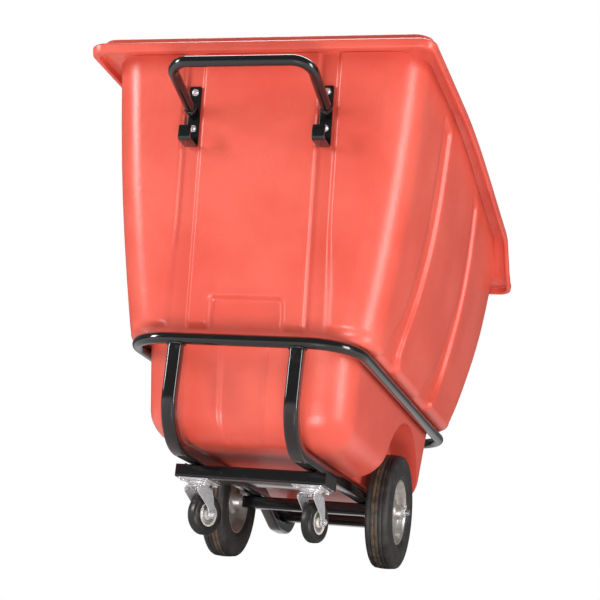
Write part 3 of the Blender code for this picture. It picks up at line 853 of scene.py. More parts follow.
# ---- tub ----------------------------------------------------------------------------------
@dataclass
class TubForm:
    """The moulded tub as a rule: an outline at each height, with panels, grooves and a rolled rim.

    Y values are measured from the main axle.
    """

    axle_y: float
    wall: float = 0.006
    floor_z: float = 0.2022
    floor_curve: float = 0.074
    step_z: float = 0.4375
    step_rise: float = 0.020
    rim_z: float = 1.126
    panel: float = 0.011
    recess: float = 0.006
    groove: float = 0.012
    groove_edge: float = 0.013
    groove_stop: float = 0.040
    lower_taper: float = 0.045
    rear_lip: float = 0.070
    side_lip: float = 0.0365
    front_lip: float = 0.034
    lip_corner: float = 0.038
    rim_reach: float = 0.040
    grooves: tuple[tuple[tuple[Pair, ...], tuple[Pair, ...]], ...] = (
        (((0.45, 0.030), (0.50, 0.085), (0.55, 0.139), (0.62, 0.173), (0.75, 0.197), (1.1, 0.203)),
         ((0.45, 0.232), (0.47, 0.207), (0.51, 0.209), (0.62, 0.245), (0.80, 0.274), (1.1, 0.275))),
        (((0.45, 0.548), (0.52, 0.615), (0.67, 0.652), (0.83, 0.661), (1.1, 0.635)),
         ((0.45, 0.712), (0.48, 0.724), (0.66, 0.716), (0.85, 0.705), (1.1, 0.670))))
    front_curve: tuple[Pair, ...] = ((0.45, 0.360), (0.51, 0.395), (0.615, 0.432), (0.73, 0.458), (0.82, 0.464),
                                     (1.2, 0.464))
    corner_steps: int = 14

    def read(self, value: float, table: Sequence[Pair]) -> float:
        """Read a smooth curve through a few points.

        Args:
            value: where to read it.
            table: (value, result) pairs in order.

        Returns:
            The result.
        """
        if value <= table[0][0]:
            return table[0][1]
        slopes = [(b[1] - a[1]) / (b[0] - a[0]) for a, b in zip(table, table[1:])]
        tangents = [slopes[0]] + [(a + b) / 2 for a, b in zip(slopes, slopes[1:])] + [0.0]
        for index, (low, high) in enumerate(zip(table, table[1:])):
            if value <= high[0]:
                span = high[0] - low[0]
                t = (value - low[0]) / span
                return ((2 * t ** 3 - 3 * t ** 2 + 1) * low[1] + (t ** 3 - 2 * t ** 2 + t) * span * tangents[index]
                        + (3 * t ** 2 - 2 * t ** 3) * high[1] + (t ** 3 - t ** 2) * span * tangents[index + 1])
        return table[-1][1]

    def section(self, z: float, upper: bool) -> tuple[float, float, float, float, float]:
        """Rear Y, front Y, half width, rear corner and front corner of the outside at a height."""
        if upper:
            bulge = 0.010 * math.sin(math.pi * min(max((z - 0.45) / 0.68, 0.0), 1.0))
            corner = self.read(z, ((0.45, 0.12), (0.9, 0.065), (1.2, 0.065)))
            return -0.632 - 0.1477 * z, self.read(z, self.front_curve), 0.2624 + 0.12 * z + bulge, 0.085, corner
        rise = max(self.floor_z + self.floor_curve - z, 0.0)
        pull = self.floor_curve - math.sqrt(max(self.floor_curve ** 2 - rise ** 2, 0.0))
        drop = self.step_z - z
        corner = 0.10 - 0.35 * pull
        return (-0.695 + 0.20 * drop + pull, 0.345 - 0.20 * drop - 0.15 * pull, 0.268 - 0.05 * drop - pull, corner,
                corner)

    def rear_stations(self) -> list[float]:
        """Places across the half width of the rear wall."""
        return ([0.0, 0.02, 0.04, 0.058] + spread(0.068, 0.106, 9) + [0.118, 0.130] + spread(0.136, 0.154, 8)
                + [0.164, 0.176] + spread(0.184, 0.206, 8) + [0.214, 0.222])

    def groove_sides(self, z: float) -> list[Pair]:
        """Where each groove starts and ends at a height, as shares of the side wall's straight run."""
        return [(self.read(z, rear), self.read(z, front)) for rear, front in self.grooves]

    def side_stations(self, z: float) -> list[float]:
        """Places along a side wall at a height, as shares of its straight run, close together at the grooves."""
        (first, first_end), (second, second_end) = self.groove_sides(z)
        edge = self.groove_edge
        places = spread(0.006, first - edge, 8) + spread(first - edge, first, 7)[1:]
        places += spread(first, first_end, 6)[1:] + spread(first_end, first_end + edge, 7)[1:]
        places += spread(first_end + edge, second - edge, 16)[1:] + spread(second - edge, second, 7)[1:]
        places += spread(second, second_end, 6)[1:] + spread(second_end, second_end + edge, 7)[1:]
        return places + spread(second_end + edge, 0.99, 12)[1:]

    def outline(self, rear: float, front: float, half: float, rear_r: float, front_r: float, z: float) -> list[tuple]:
        """Points (x, y, kind, share) of a rounded oblong, anticlockwise from the middle of the rear."""
        scale = min((half - rear_r) / 0.226, 1.0)
        right = [(x * scale, rear, "rear", x) for x in self.rear_stations()]
        turns = spread(0.0, math.pi / 2, self.corner_steps + 1)
        for turn in turns:
            right.append((half - rear_r + rear_r * math.sin(turn), rear + rear_r - rear_r * math.cos(turn),
                          "rear corner", 1.0 - 2 * turn / math.pi))
        start, end = rear + rear_r, front - front_r
        right += [(half, start + (end - start) * share, "side", share) for share in self.side_stations(z)]
        for turn in turns:
            right.append((half - front_r + front_r * math.cos(turn), front - front_r + front_r * math.sin(turn),
                          "front corner", 2 * turn / math.pi))
        right += [((half - front_r) * share, front, "front", share) for share in (0.8, 0.6, 0.4, 0.2)]
        left = [(-x, y, kind, share) for x, y, kind, share in reversed(right[1:])]
        return right + [(0.0, front, "front", 0.0)] + left

    def relief(self, x: float, z: float) -> float:
        """How far the rear wall's raised panels stand out."""
        centre = 1.0 - ease(x, 0.140, 0.151)
        outer = ease(x, 0.187, 0.200 + 0.02 * ease(0.75 - z, 0.0, 0.25))
        notch = (1.0 - ease(x, 0.086 - 0.10 * max(z - 0.50, 0.0), 0.100 - 0.10 * max(z - 0.50, 0.0)))
        notch *= 1.0 - ease(z, 0.530, 0.544)
        return self.panel * ease(z, 0.458, 0.478) * max(centre - notch, outer)

    def sunk(self, share: float, y: float, z: float, sides: Sequence[Pair]) -> float:
        """How far the two upright grooves, which stop short of the rim, sink into each side wall."""
        edge = self.groove_edge
        depth = max(ease(share, a - edge, a) * (1 - ease(share, b, b + edge)) for a, b in sides)
        if depth == 0.0:
            return 0.0
        top = self.rim_height(y) - self.groove_stop
        return self.groove * depth * (1 - ease(z, top - 0.008, top + 0.008))

    def ring(self, z: float, upper: bool, inset: float) -> Ring:
        """One ring of the skin, panels and grooves included."""
        rear, front, half, rear_r, front_r = self.section(z, upper)
        sizes = (rear + inset, front - inset, half - inset, max(rear_r - inset, 0.004), max(front_r - inset, 0.004))
        sides = self.groove_sides(z)
        points = []
        for x, y, kind, share in self.outline(*sizes, z):
            if upper and kind == "rear":
                y -= self.relief(share, z)
            elif upper and kind == "rear corner":
                y -= self.panel * ease(z, 0.458, 0.478) * share
            elif upper and kind == "side":
                x -= math.copysign(self.sunk(share, y, z, sides), x)
            elif kind == "rear":
                y += self.recess * (1.0 - ease(share, 0.070, 0.088))
            if not upper:
                x *= 1.0 - self.lower_taper * (y - rear) / (front - rear)
            points.append(Vector((x, y, z)))
        return points

    def rim_height(self, y: float) -> float:
        """Height where the wall meets the rim along the truck."""
        fall = 0.082 * ease(y, -0.45, 0.62) / ease(0.30, -0.45, 0.62)
        return self.rim_z - fall - 0.100 * ease(y, 0.315, 0.455)

    def wall_ring(self, share: float, inset: float) -> Ring:
        """A ring of the upper wall, a share of the way from the step to the rim."""
        low = self.step_z + self.step_rise
        level = self.ring(low + (self.rim_z - low) * share, True, inset)
        rows: dict[float, Ring] = {}
        points = []
        for index, point in enumerate(level):
            height = round(low + (self.rim_height(point.y) - low) * share, 3)
            rows.setdefault(height, self.ring(height, True, inset))
            points.append(rows[height][index].copy())
            points[-1].z = low + (self.rim_height(point.y) - low) * share
        return points

    def rim_ring(self, out: float, up: float) -> Ring:
        """A ring of the rolled rim, out from the wall's top and up from it."""
        rear, front, half, _, _ = self.section(self.rim_z, True)
        part = out / self.rim_reach
        points = self.outline(rear - self.rear_lip * part, front + self.front_lip * part,
                              half + self.side_lip * part, self.lip_corner, self.lip_corner, self.rim_z)
        return [Vector((x, y, self.rim_height(y) + up)) for x, y, _, _ in points]

    def outside(self) -> list[Ring]:
        """Rings of the outside, from the floor up to the rim's inner edge."""
        heights = [self.floor_z + self.floor_curve * (1 - math.cos(turn)) for turn in spread(0.0, math.pi / 2, 9)]
        rings = [self.ring(z, False, 0.0) for z in heights + [0.32, 0.36, 0.40, 0.43, self.step_z]]
        low, high = rings[-1], self.wall_ring(0.0, 0.0)
        for turn in spread(0.0, math.pi / 2, 6)[:-1]:
            level = []
            for start, end in zip(low, high):
                reach = Vector((end.x - start.x, end.y - start.y, 0.0))
                part = min(1.0, self.step_rise / max(reach.length, 1e-6))
                flat = end - reach * part * (1 - math.sin(turn))
                level.append(Vector((flat.x, flat.y, self.step_z + self.step_rise * (1 - math.cos(turn)))))
            rings.append(level)
        shares = (spread(0.0, 0.045, 8) + spread(0.055, 0.095, 5) + spread(0.10, 0.136, 8) + spread(0.16, 0.89, 24)
                  + spread(0.905, 0.965, 9) + [0.985, 1.0])
        rings += [self.wall_ring(share, 0.0) for share in shares]
        corners = [(0.001, 0.001, 0.0), (0.026, 0.003, 0.005), (0.027, -0.015, 0.003), (0.038, -0.016, 0.004),
                   (0.040, 0.004, 0.006), (0.036, 0.010, 0.006), (0.023, 0.015, 0.005), (0.020, 0.032, 0.006),
                   (0.015, 0.036, 0.005), (0.001, 0.036, 0.003), (0.0, 0.030, 0.0)]
        return rings + [self.rim_ring(spot.x, spot.y) for spot in soften(corners, 4)]

    def inside(self) -> list[Ring]:
        """Rings of the inside, from the floor up to the rim."""
        heights = [self.floor_z + self.floor_curve * (1 - math.cos(turn)) for turn in spread(0.0, math.pi / 2, 8)]
        rings = [self.ring(z, False, self.wall) for z in heights + [0.36, self.step_z + self.wall]]
        for ring, z in zip(rings, heights):
            for point in ring:
                point.z = z + self.wall
        shares = spread(0.0, 0.045, 5) + [0.07, 0.09] + spread(0.10, 0.136, 6) + spread(0.18, 0.94, 16) + [1.0]
        return rings + [self.wall_ring(share, self.wall) for share in shares]


class TubMaker(Maker):
    """Builds the tub."""

    arch_radius: float = 0.239
    arch_inner: float = 0.172
    axle_z: float = 0.1525

    def drum(self, side: Side, radius: float, inner: float, form: TubForm) -> bpy.types.Object:
        """A drum about the axle that shapes one wheel arch, with a rounded inner edge."""
        corners = [(0.0, inner, 0.0), (radius, inner, 0.012), (radius, 0.34, 0.0), (0.0, 0.34, 0.0)]
        matrix = aim(Vector((0.0, form.axle_y, self.axle_z)), Vector((side.value, 0.0, 0.0)))
        return lathe(f"drum_{side.word}", corners, matrix, steps=96, arc=5, solid=False)

    def shell(self, name: str, rings: list[Ring], form: TubForm, radius: float, inner: float) -> bpy.types.Object:
        """A closed skin over rings with both wheel arches cut out of it."""
        sheet = Sheet().skin(rings, capped=False)
        sheet.plug(rings[0]).plug(rings[-1])
        made = sheet.mesh(name, Matrix.Translation((0.0, form.axle_y, 0.0)), angle=40.0)
        for side in Side:
            subtract(made, self.drum(side, radius, inner, form))
        return made

    def build(self) -> bpy.types.Object:
        """Build and dress the tub.

        Returns:
            The tub.
        """
        form = TubForm(axle_y=centre_of("axle").y)
        tub = self.shell("tub_shell", form.outside(), form, self.arch_radius, self.arch_inner)
        rings = form.inside()
        rings.append([point + Vector((0.0, 0.0, 0.08)) for point in rings[-1]])
        hollow = self.shell("hollow", rings, form, self.arch_radius + form.wall, self.arch_inner - form.wall)
        subtract(tub, hollow)
        tub.data.shade_smooth()
        tub.data.set_sharp_from_angle(angle=math.radians(38))
        return self.place(tub, Body.TRUCK.value, self.palette.coral, "red_polyethylene", ["tub"])


def subtract(piece: bpy.types.Object, cutter: bpy.types.Object) -> None:
    """Cut a cutter out of a piece for good and remove the cutter."""
    boolean = piece.modifiers.new("cut", "BOOLEAN")
    boolean.operation = "DIFFERENCE"
    boolean.solver = "EXACT"
    boolean.object = cutter
    graph = bpy.context.evaluated_depsgraph_get()
    data = bpy.data.meshes.new_from_object(piece.evaluated_get(graph))
    piece.modifiers.clear()
    piece.data = data
    data.name = piece.name
    bpy.data.objects.remove(cutter, do_unlink=True)


# ---- frame --------------------------------------------------------------------------------
@dataclass
class FrameSizes:
    """Sizes of the welded frame; Y values are measured from the main axle."""

    tube_r: float = 0.0140
    ring_z: float = 0.4225
    ring_rear: float = -0.754
    ring_front: float = 0.445
    half_rear: float = 0.2835
    half_front: float = 0.2735
    ring_corner: float = 0.115
    support_x: float = 0.150
    support_w: float = 0.034
    support_d: float = 0.0318
    tube_wall: float = 0.0025
    weld_reach: float = 0.0115


class FrameMaker(Maker):
    """Builds the ring, the two supports, the cross tubes and their welds."""

    def __init__(self, palette: Palette) -> None:
        """Keep the palette and the sizes."""
        super().__init__(palette)
        self.sizes = FrameSizes()
        self.axle_y = centre_of("axle").y

    def ring(self) -> None:
        """The round tube that runs all the way round the tub."""
        size = self.sizes
        corners = [(0.0, size.ring_rear, 0.0), (size.half_rear, size.ring_rear, size.ring_corner),
                   (size.half_front, size.ring_front, size.ring_corner),
                   (-size.half_front, size.ring_front, size.ring_corner),
                   (-size.half_rear, size.ring_rear, size.ring_corner), (-0.0001, size.ring_rear, 0.0)]
        path = [Vector((spot.x, spot.y + self.axle_y, size.ring_z)) for spot in soften(corners, 14)]
        rings = swept(path[:-1], Vector((0, 0, 1)), circle(size.tube_r), closed=True)
        tube = Sheet().skin(rings, joined=True).mesh("frame_ring")
        self.place(tube, Body.TRUCK.value, self.palette.black, "black_powder_coat", ["ring_tube"])

    def support(self, side: Side) -> None:
        """One bent support under the tub, with its foot, and the welds at its two ends."""
        size = self.sizes
        end_z = size.ring_z
        corners = [(-0.746, end_z, 0.0), (-0.746, 0.1770, 0.118), (0.030, 0.1855, 0.08), (0.200, 0.1215, 0.095),
                   (0.325, 0.1215, 0.085), (size.ring_front, end_z, 0.0)]
        across = side.value * size.support_x
        path = [Vector((across, spot.x + self.axle_y, spot.y)) for spot in soften(corners, 14)]
        rings = swept(path, Vector((1, 0, 0)), rounded_box(size.support_d, size.support_w, 0.0075, 5))
        bar = Sheet().skin(rings).mesh(f"frame_support_{side.word}")
        self.place(bar, Body.TRUCK.value, self.palette.black, "black_powder_coat", [f"support_{side.word}"])
        for word, y, offset in (("rear", size.ring_rear, 0.008), ("front", size.ring_front, 0.0)):
            loop = []
            for spot in rounded_box(size.support_d + 0.003, size.support_w + 0.003, 0.006, 3):
                reach = min(abs(spot.x + offset), size.weld_reach)
                drop = math.sqrt(max((size.tube_r + 0.001) ** 2 - reach ** 2, 0.0))
                loop.append(Vector((across + spot.y, self.axle_y + y + spot.x + offset, size.ring_z - drop - 0.001)))
            bead = weld_bead(f"weld_support_{side.word}_{word}", loop, 0.0021, self.palette.weld, closed=True)
            self.place(bead, Body.TRUCK.value, self.palette.weld, "black_powder_coat")

    def box_tube(self, node: str, radius: float) -> None:
        """A cross tube in a CAD node's box, with rounded corners and open ends."""
        low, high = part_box(node)
        wide, deep = high.y - low.y, high.z - low.z
        wall = self.sizes.tube_wall
        outer = rounded_box(wide, deep, radius, 5)
        inner = rounded_box(wide - 2 * wall, deep - 2 * wall, max(radius - wall, 0.001), 5)
        middle = (low + high) / 2
        lip = 0.0006
        stations = [(low.x, inner), (low.x, outer), (low.x + lip, outer), (high.x - lip, outer), (high.x, outer),
                    (high.x, inner)]
        rings = [[Vector((x, middle.y + spot.x, middle.z + spot.y)) for spot in line] for x, line in stations]
        tube = Sheet().skin(rings, joined=True).mesh("tube_" + node, angle=50)
        self.place(tube, Body.TRUCK.value, self.palette.black, "black_powder_coat", [node])

    def end_caps(self, node: str) -> None:
        """A plastic plug set just inside each end of a cross tube."""
        low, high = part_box(node)
        inset = 2 * self.sizes.tube_wall + 0.0006
        line = rounded_box(high.y - low.y - inset, high.z - low.z - inset, 0.003, 4)
        middle = (low + high) / 2
        for side in Side:
            end = middle.x + side.value * (high.x - low.x) / 2
            rings = [[Vector((end - side.value * depth, middle.y + spot.x, middle.z + spot.y)) for spot in line]
                     for depth in (0.0060, 0.0008)]
            plug = Sheet().skin(rings).mesh(f"end_cap_{node}_{side.word}", angle=40)
            self.place(plug, Body.TRUCK.value, self.palette.cap, "black_rubber")

    def cross_welds(self) -> None:
        """Beads where the supports meet the rail, the axle beam and the front cross tube."""
        for side in Side:
            for node, z_share in (("rear_rail", 1.0), ("axle_beam", 1.0), ("front_cross_tube", 0.5)):
                low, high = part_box(node)
                z = low.z + (high.z - low.z) * z_share
                across = side.value * (self.sizes.support_x + side_gap(node, self.sizes.support_w))
                line = [Vector((across, y, z)) for y in spread(low.y + 0.003, high.y - 0.003, 6)]
                bead = weld_bead(f"weld_{node}_{side.word}", line, 0.0024, self.palette.weld)
                self.place(bead, Body.TRUCK.value, self.palette.weld, "black_powder_coat")

    def build(self) -> None:
        """Build the whole frame."""
        self.ring()
        for side in Side:
            self.support(side)
        self.box_tube("rear_rail", 0.005)
        self.end_caps("rear_rail")
        self.box_tube("axle_beam", 0.004)
        self.box_tube("front_cross_tube", 0.004)
        self.cross_welds()


def side_gap(node: str, width: float) -> float:
    """Where a bead runs beside a support: outside it over the rails, inside it at the foot."""
    return -width / 2 - 0.001 if node == "front_cross_tube" else width / 2 + 0.001


# ---- handle -------------------------------------------------------------------------------
@dataclass
class HandleSizes:
    """Sizes of the push handle; Y values are measured from the main axle."""

    tube_r: float = 0.0132
    bar_y: float = -0.970
    bar_z: float = 1.034
    weld_y: float = -0.7905
    weld_z: float = 0.985
    half: float = 0.172
    bend: float = 0.045
    strap_x: float = 0.1675
    strap_w: float = 0.031
    strap_t: float = 0.005
    strap_top: float = 1.048
    strap_low: float = 0.899
    hook: float = 0.060


class HandleMaker(Maker):
    """Builds the push handle, its straps with hooks, the screws and the welds."""

    def __init__(self, palette: Palette) -> None:
        """Keep the palette and the sizes."""
        super().__init__(palette)
        self.sizes = HandleSizes()
        self.axle_y = centre_of("axle").y

    def wall_y(self, z: float) -> float:
        """The rear wall's place at a height."""
        return -0.632 - 0.1477 * z

    def bar(self) -> None:
        """The bent bar."""
        size = self.sizes
        lean = (size.weld_z - size.bar_z) / (size.weld_y - size.bar_y)
        corners = [(-size.half, size.weld_y, 0.0), (-size.half, size.bar_y, size.bend),
                   (size.half, size.bar_y, size.bend), (size.half, size.weld_y, 0.0)]
        path = [Vector((spot.x, spot.y + self.axle_y, size.bar_z + lean * (spot.y - size.bar_y)))
                for spot in soften(corners, 16)]
        normal = Vector((0.0, -lean, 1.0)).normalized()
        bar = Sheet().skin(swept(path, normal, circle(size.tube_r, 32))).mesh("push_bar")
        self.place(bar, Body.TRUCK.value, self.palette.black, "black_powder_coat", ["handle_tube"])
        into = Vector((0.0, 1.0, lean)).normalized()
        for side in Side:
            middle = Vector((side.value * size.half, self.axle_y + size.weld_y - 0.0105, size.weld_z - 0.0105 * lean))
            matrix = aim(middle, into)
            loop = [matrix @ Vector((spot.x, spot.y, 0.0)) for spot in circle(size.tube_r + 0.0012, 30)]
            bead = weld_bead(f"weld_push_bar_{side.word}", loop, 0.0023, self.palette.weld, closed=True)
            self.place(bead, Body.TRUCK.value, self.palette.weld, "black_powder_coat")

    def strap(self, side: Side) -> None:
        """One strap with its hook."""
        size = self.sizes
        face = self.wall_y(size.strap_low) - size.strap_t / 2 - 0.0008
        top = self.wall_y(size.strap_top) - size.strap_t / 2 - 0.0008
        corners = [(top, size.strap_top, 0.0), (face, size.strap_low, 0.008),
                   (face - size.hook, size.strap_low, 0.008), (face - size.hook, size.strap_low + 0.034, 0.0)]
        across = side.value * size.strap_x
        path = [Vector((across, spot.x + self.axle_y, spot.y)) for spot in soften(corners, 8)]
        rings = swept(path, Vector((1, 0, 0)), rounded_box(size.strap_t, size.strap_w, 0.0011, 3))
        for end, inner, pull in ((0, 1, 0.0022), (-1, -2, 0.0022)):
            middle = sum(rings[end], Vector()) / len(rings[end])
            along = (sum(rings[inner], Vector()) / len(rings[inner]) - middle).normalized()
            tip = [middle + (point - middle) * 0.80 for point in rings[end]]
            rings[end] = [point + along * pull for point in rings[end]]
            rings.insert(0 if end == 0 else len(rings), tip)
        strap = Sheet().skin(rings).mesh(f"handle_strap_{side.word}", angle=45)
        self.place(strap, Body.TRUCK.value, self.palette.black, "black_powder_coat", [f"handle_bracket_{side.word}"])

    def screw(self, node: str) -> None:
        """One button-head screw with a socket, on a thin washer."""
        middle = centre_of(node)
        tilt = Vector((0.0, -1.0, -0.1477)).normalized()
        seat = middle - tilt * 0.0024
        corners = [(0.0, 0.0022, 0.0), (0.0021, 0.0022, 0.0), (0.0023, 0.0046, 0.0004), (0.0042, 0.0044, 0.0016),
                   (0.0062, 0.0022, 0.0012), (0.0066, 0.0008, 0.0003), (0.0086, 0.0008, 0.0004), (0.0086, 0.0, 0.0),
                   (0.0, 0.0, 0.0)]
        screw = lathe("screw_" + node, corners, aim(seat, tilt), steps=36, arc=3, solid=False)
        self.place(screw, Body.TRUCK.value, self.palette.zinc, "bright_steel", [node])

    def build(self) -> None:
        """Build the handle and all that holds it."""
        self.bar()
        for side in Side:
            self.strap(side)
            for level in ("upper", "lower"):
                self.screw(f"handle_screw_{side.word}_{level}")


# ---- main wheels --------------------------------------------------------------------------
@dataclass
class WheelSizes:
    """Sizes of a main wheel."""

    radius: float = 0.1525
    width: float = 0.068
    rim_r: float = 0.0865
    bore: float = 0.0128
    hub_half: float = 0.0365
    pin_x: float = 0.2718
    pin_r: float = 0.0009
    nut_r: float = 0.0140


class WheelMaker(Maker):
    """Builds a main wheel: ribbed tyre, dished disc, hub, bearing cage and split pin."""

    def __init__(self, palette: Palette) -> None:
        """Keep the palette and the sizes."""
        super().__init__(palette)
        self.sizes = WheelSizes()

    def tread(self, crown: float, ribs: Sequence[Pair], depth: float) -> list[tuple]:
        """Profile corners across the tread, from its outer to its inner shoulder.

        Args:
            crown: radius at the top of the ribs.
            ribs: (outer, inner) places of each rib across the width.
            depth: depth of the grooves between ribs.

        Returns:
            (radius, height, corner radius) of each corner.
        """
        corners: list[tuple] = []
        for index, (outer, inner) in enumerate(ribs):
            if index:
                corners += [(crown - depth, outer + 0.0004, 0.0006), (crown - self.dome(outer), outer, 0.0007)]
            corners.append((crown - self.dome(inner), inner, 0.0007))
            if index < len(ribs) - 1:
                corners.append((crown - depth, inner - 0.0004, 0.0006))
        return corners

    def dome(self, place: float) -> float:
        """How much lower the tread is away from its middle."""
        return 0.0022 * (place / 0.025) ** 2

    def tyre(self, side: Side, matrix: Matrix) -> None:
        """The tyre, with tread ribs and a ringed side wall."""
        size = self.sizes
        half = size.width / 2
        wall = [(size.rim_r + 0.0003, 0.0262, 0.0), (0.0895, 0.0290, 0.0012), (0.0925, 0.0290, 0.001),
                (0.0940, 0.0308, 0.001), (0.1000, 0.0325, 0.002), (0.1030, 0.0318, 0.001), (0.1045, 0.0332, 0.001),
                (0.1180, 0.0338, 0.004), (0.1320, half, 0.005), (0.1345, 0.0326, 0.0012), (0.1370, 0.0334, 0.0012),
                (0.1440, 0.0318, 0.003), (0.1483, 0.0292, 0.0016), (0.1490, 0.0268, 0.0008), (0.1508, 0.0250, 0.0012)]
        ribs = ((0.0250, 0.0165), (0.0140, 0.0062), (0.0040, -0.0040), (-0.0062, -0.0140), (-0.0165, -0.0250))
        tread = self.tread(size.radius, ribs, 0.0042)
        back = [(radius, -height, curve) for radius, height, curve in reversed(wall)]
        tyre = lathe(f"ribbed_tyre_{side.word}", wall + tread + back, matrix, steps=112, arc=2)
        self.place(tyre, Body.MAIN_WHEEL.on(side), self.palette.tyre, "black_rubber", [f"wheel_tyre_{side.word}"])

    def disc(self, side: Side, matrix: Matrix) -> None:
        """The dished disc with its rim flange and hub."""
        size = self.sizes
        face = [(size.bore, size.hub_half - 0.0012, 0.0), (size.bore + 0.0008, size.hub_half, 0.0004),
                (0.0188, size.hub_half, 0.0012), (0.0200, 0.0220, 0.002), (0.0232, 0.0172, 0.003),
                (0.0340, 0.0150, 0.004), (0.0385, 0.0060, 0.005), (0.0480, 0.0036, 0.005), (0.0560, 0.0050, 0.004),
                (0.0640, 0.0036, 0.004), (0.0725, 0.0088, 0.006), (0.0785, 0.0220, 0.005), (0.0815, 0.0262, 0.002),
                (0.0850, 0.0278, 0.0015), (size.rim_r, 0.0268, 0.0006)]
        back = [(size.rim_r, -0.0268, 0.0006), (0.0845, -0.0278, 0.0015), (0.0805, -0.0245, 0.003),
                (0.0740, -0.0040, 0.006), (0.0640, -0.0030, 0.004), (0.0400, -0.0040, 0.004), (0.0350, -0.0120, 0.003),
                (0.0215, -0.0160, 0.003), (0.0195, -size.hub_half + 0.002, 0.0012),
                (size.bore, -size.hub_half + 0.002, 0.0)]
        disc = lathe(f"dished_disc_{side.word}", face + back, matrix, steps=96, arc=3)
        self.place(disc, Body.MAIN_WHEEL.on(side), self.palette.silver, "silver_steel", [f"wheel_disc_{side.word}"])
        rolls = [matrix @ Vector((0.0104 * math.cos(turn), 0.0104 * math.sin(turn), size.hub_half - 0.0034))
                 for turn in spread(0.0, 2 * math.pi * 9 / 10, 10)]
        unit = lathe("roll", [(0.0, 0.5, 0.0), (0.5, 0.5, 0.12), (0.5, -0.5, 0.12), (0.0, -0.5, 0.0)],
                     aim(Vector(), Vector((1, 0, 0))), steps=12, arc=2, solid=False)
        cage = repeated(f"bearing_rolls_{side.word}", rolls, unit, 0.0034, self.palette.steel)
        self.place(cage, Body.MAIN_WHEEL.on(side), self.palette.steel, "bright_steel")

    def split_pin(self, side: Side) -> None:
        """The split pin through the axle's end: a loop above and two legs spread below."""
        tip = self.sizes.pin_x * side.value
        axle = centre_of("axle")
        for index, lean in enumerate((-1.0, 1.0)):
            path = [Vector((0.0, 0.0010 * lean, 0.0148)), Vector((0.0, 0.0026 * lean, 0.0172)),
                    Vector((0.0, 0.0016 * lean, 0.0196)), Vector((0.0, 0.0, 0.0202))][::-1]
            path += [Vector((0.0, 0.0008 * lean, z)) for z in spread(0.0120, -0.0105, 8)]
            path += [Vector((0.0, 0.0008 * lean + 0.0034 * share ** 1.5 * lean, -0.0105 - 0.0055 * share))
                     for share in (0.3, 0.6, 1.0)]
            world = [Vector((tip, axle.y, axle.z)) + spot for spot in path]
            rings = swept(world, Vector((1, 0, 0)), circle(self.sizes.pin_r, 10))
            leg = Sheet().skin(rings).mesh(f"split_pin_leg_{side.word}_{index}")
            replaces = [f"split_pin_{side.word}"] if index == 0 else []
            self.place(leg, Body.TRUCK.value, self.palette.zinc, "zinc_plate", replaces)
        LOG.info("split pin %s at %.4f", side.word, tip)

    def axle_nut(self, side: Side, hub: Vector) -> None:
        """The plain hexagon nut on the axle, outside the washer."""
        face = abs(centre_of(f"axle_washer_{side.word}").x) + 0.0016
        outward = Vector((side.value, 0.0, 0.0))
        radius = self.sizes.nut_r
        hexagon = [(radius * math.cos(turn), radius * math.sin(turn), 0.0012)
                   for turn in spread(0.0, math.pi * 5 / 3, 6)]
        seat = Vector((side.value * (face + 0.0024), hub.y, hub.z))
        nut = slab(f"axle_nut_{side.word}", soften(hexagon, 3, closed=True), 0.0044, aim(seat, outward), 0.0007)
        self.place(nut, Body.TRUCK.value, self.palette.zinc, "zinc_plate")

    def build(self, frame: dict) -> None:
        """Build both wheels and dress the axle's small parts.

        Args:
            frame: the loaded frame.
        """
        for side in Side:
            centre = centre_of(f"wheel_tyre_{side.word}")
            matrix = aim(centre, Vector((side.value, 0.0, 0.0)))
            self.tyre(side, matrix)
            self.disc(side, matrix)
            self.split_pin(side)
            self.axle_nut(side, centre)
            self.dress(frame, self.palette.steel, f"wheel_bearing_{side.word}", f"axle_plug_{side.word}")
            self.dress(frame, self.palette.zinc, f"axle_washer_{side.word}", f"wheel_spacer_{side.word}")
        self.dress(frame, self.palette.steel, "axle")


# ---- casters ------------------------------------------------------------------------------
@dataclass
class CasterSizes:
    """Sizes of a swivel caster."""

    wheel_r: float = 0.0508
    wheel_w: float = 0.030
    trail: float = 0.034
    cheek: float = 0.0205
    sheet: float = 0.0028


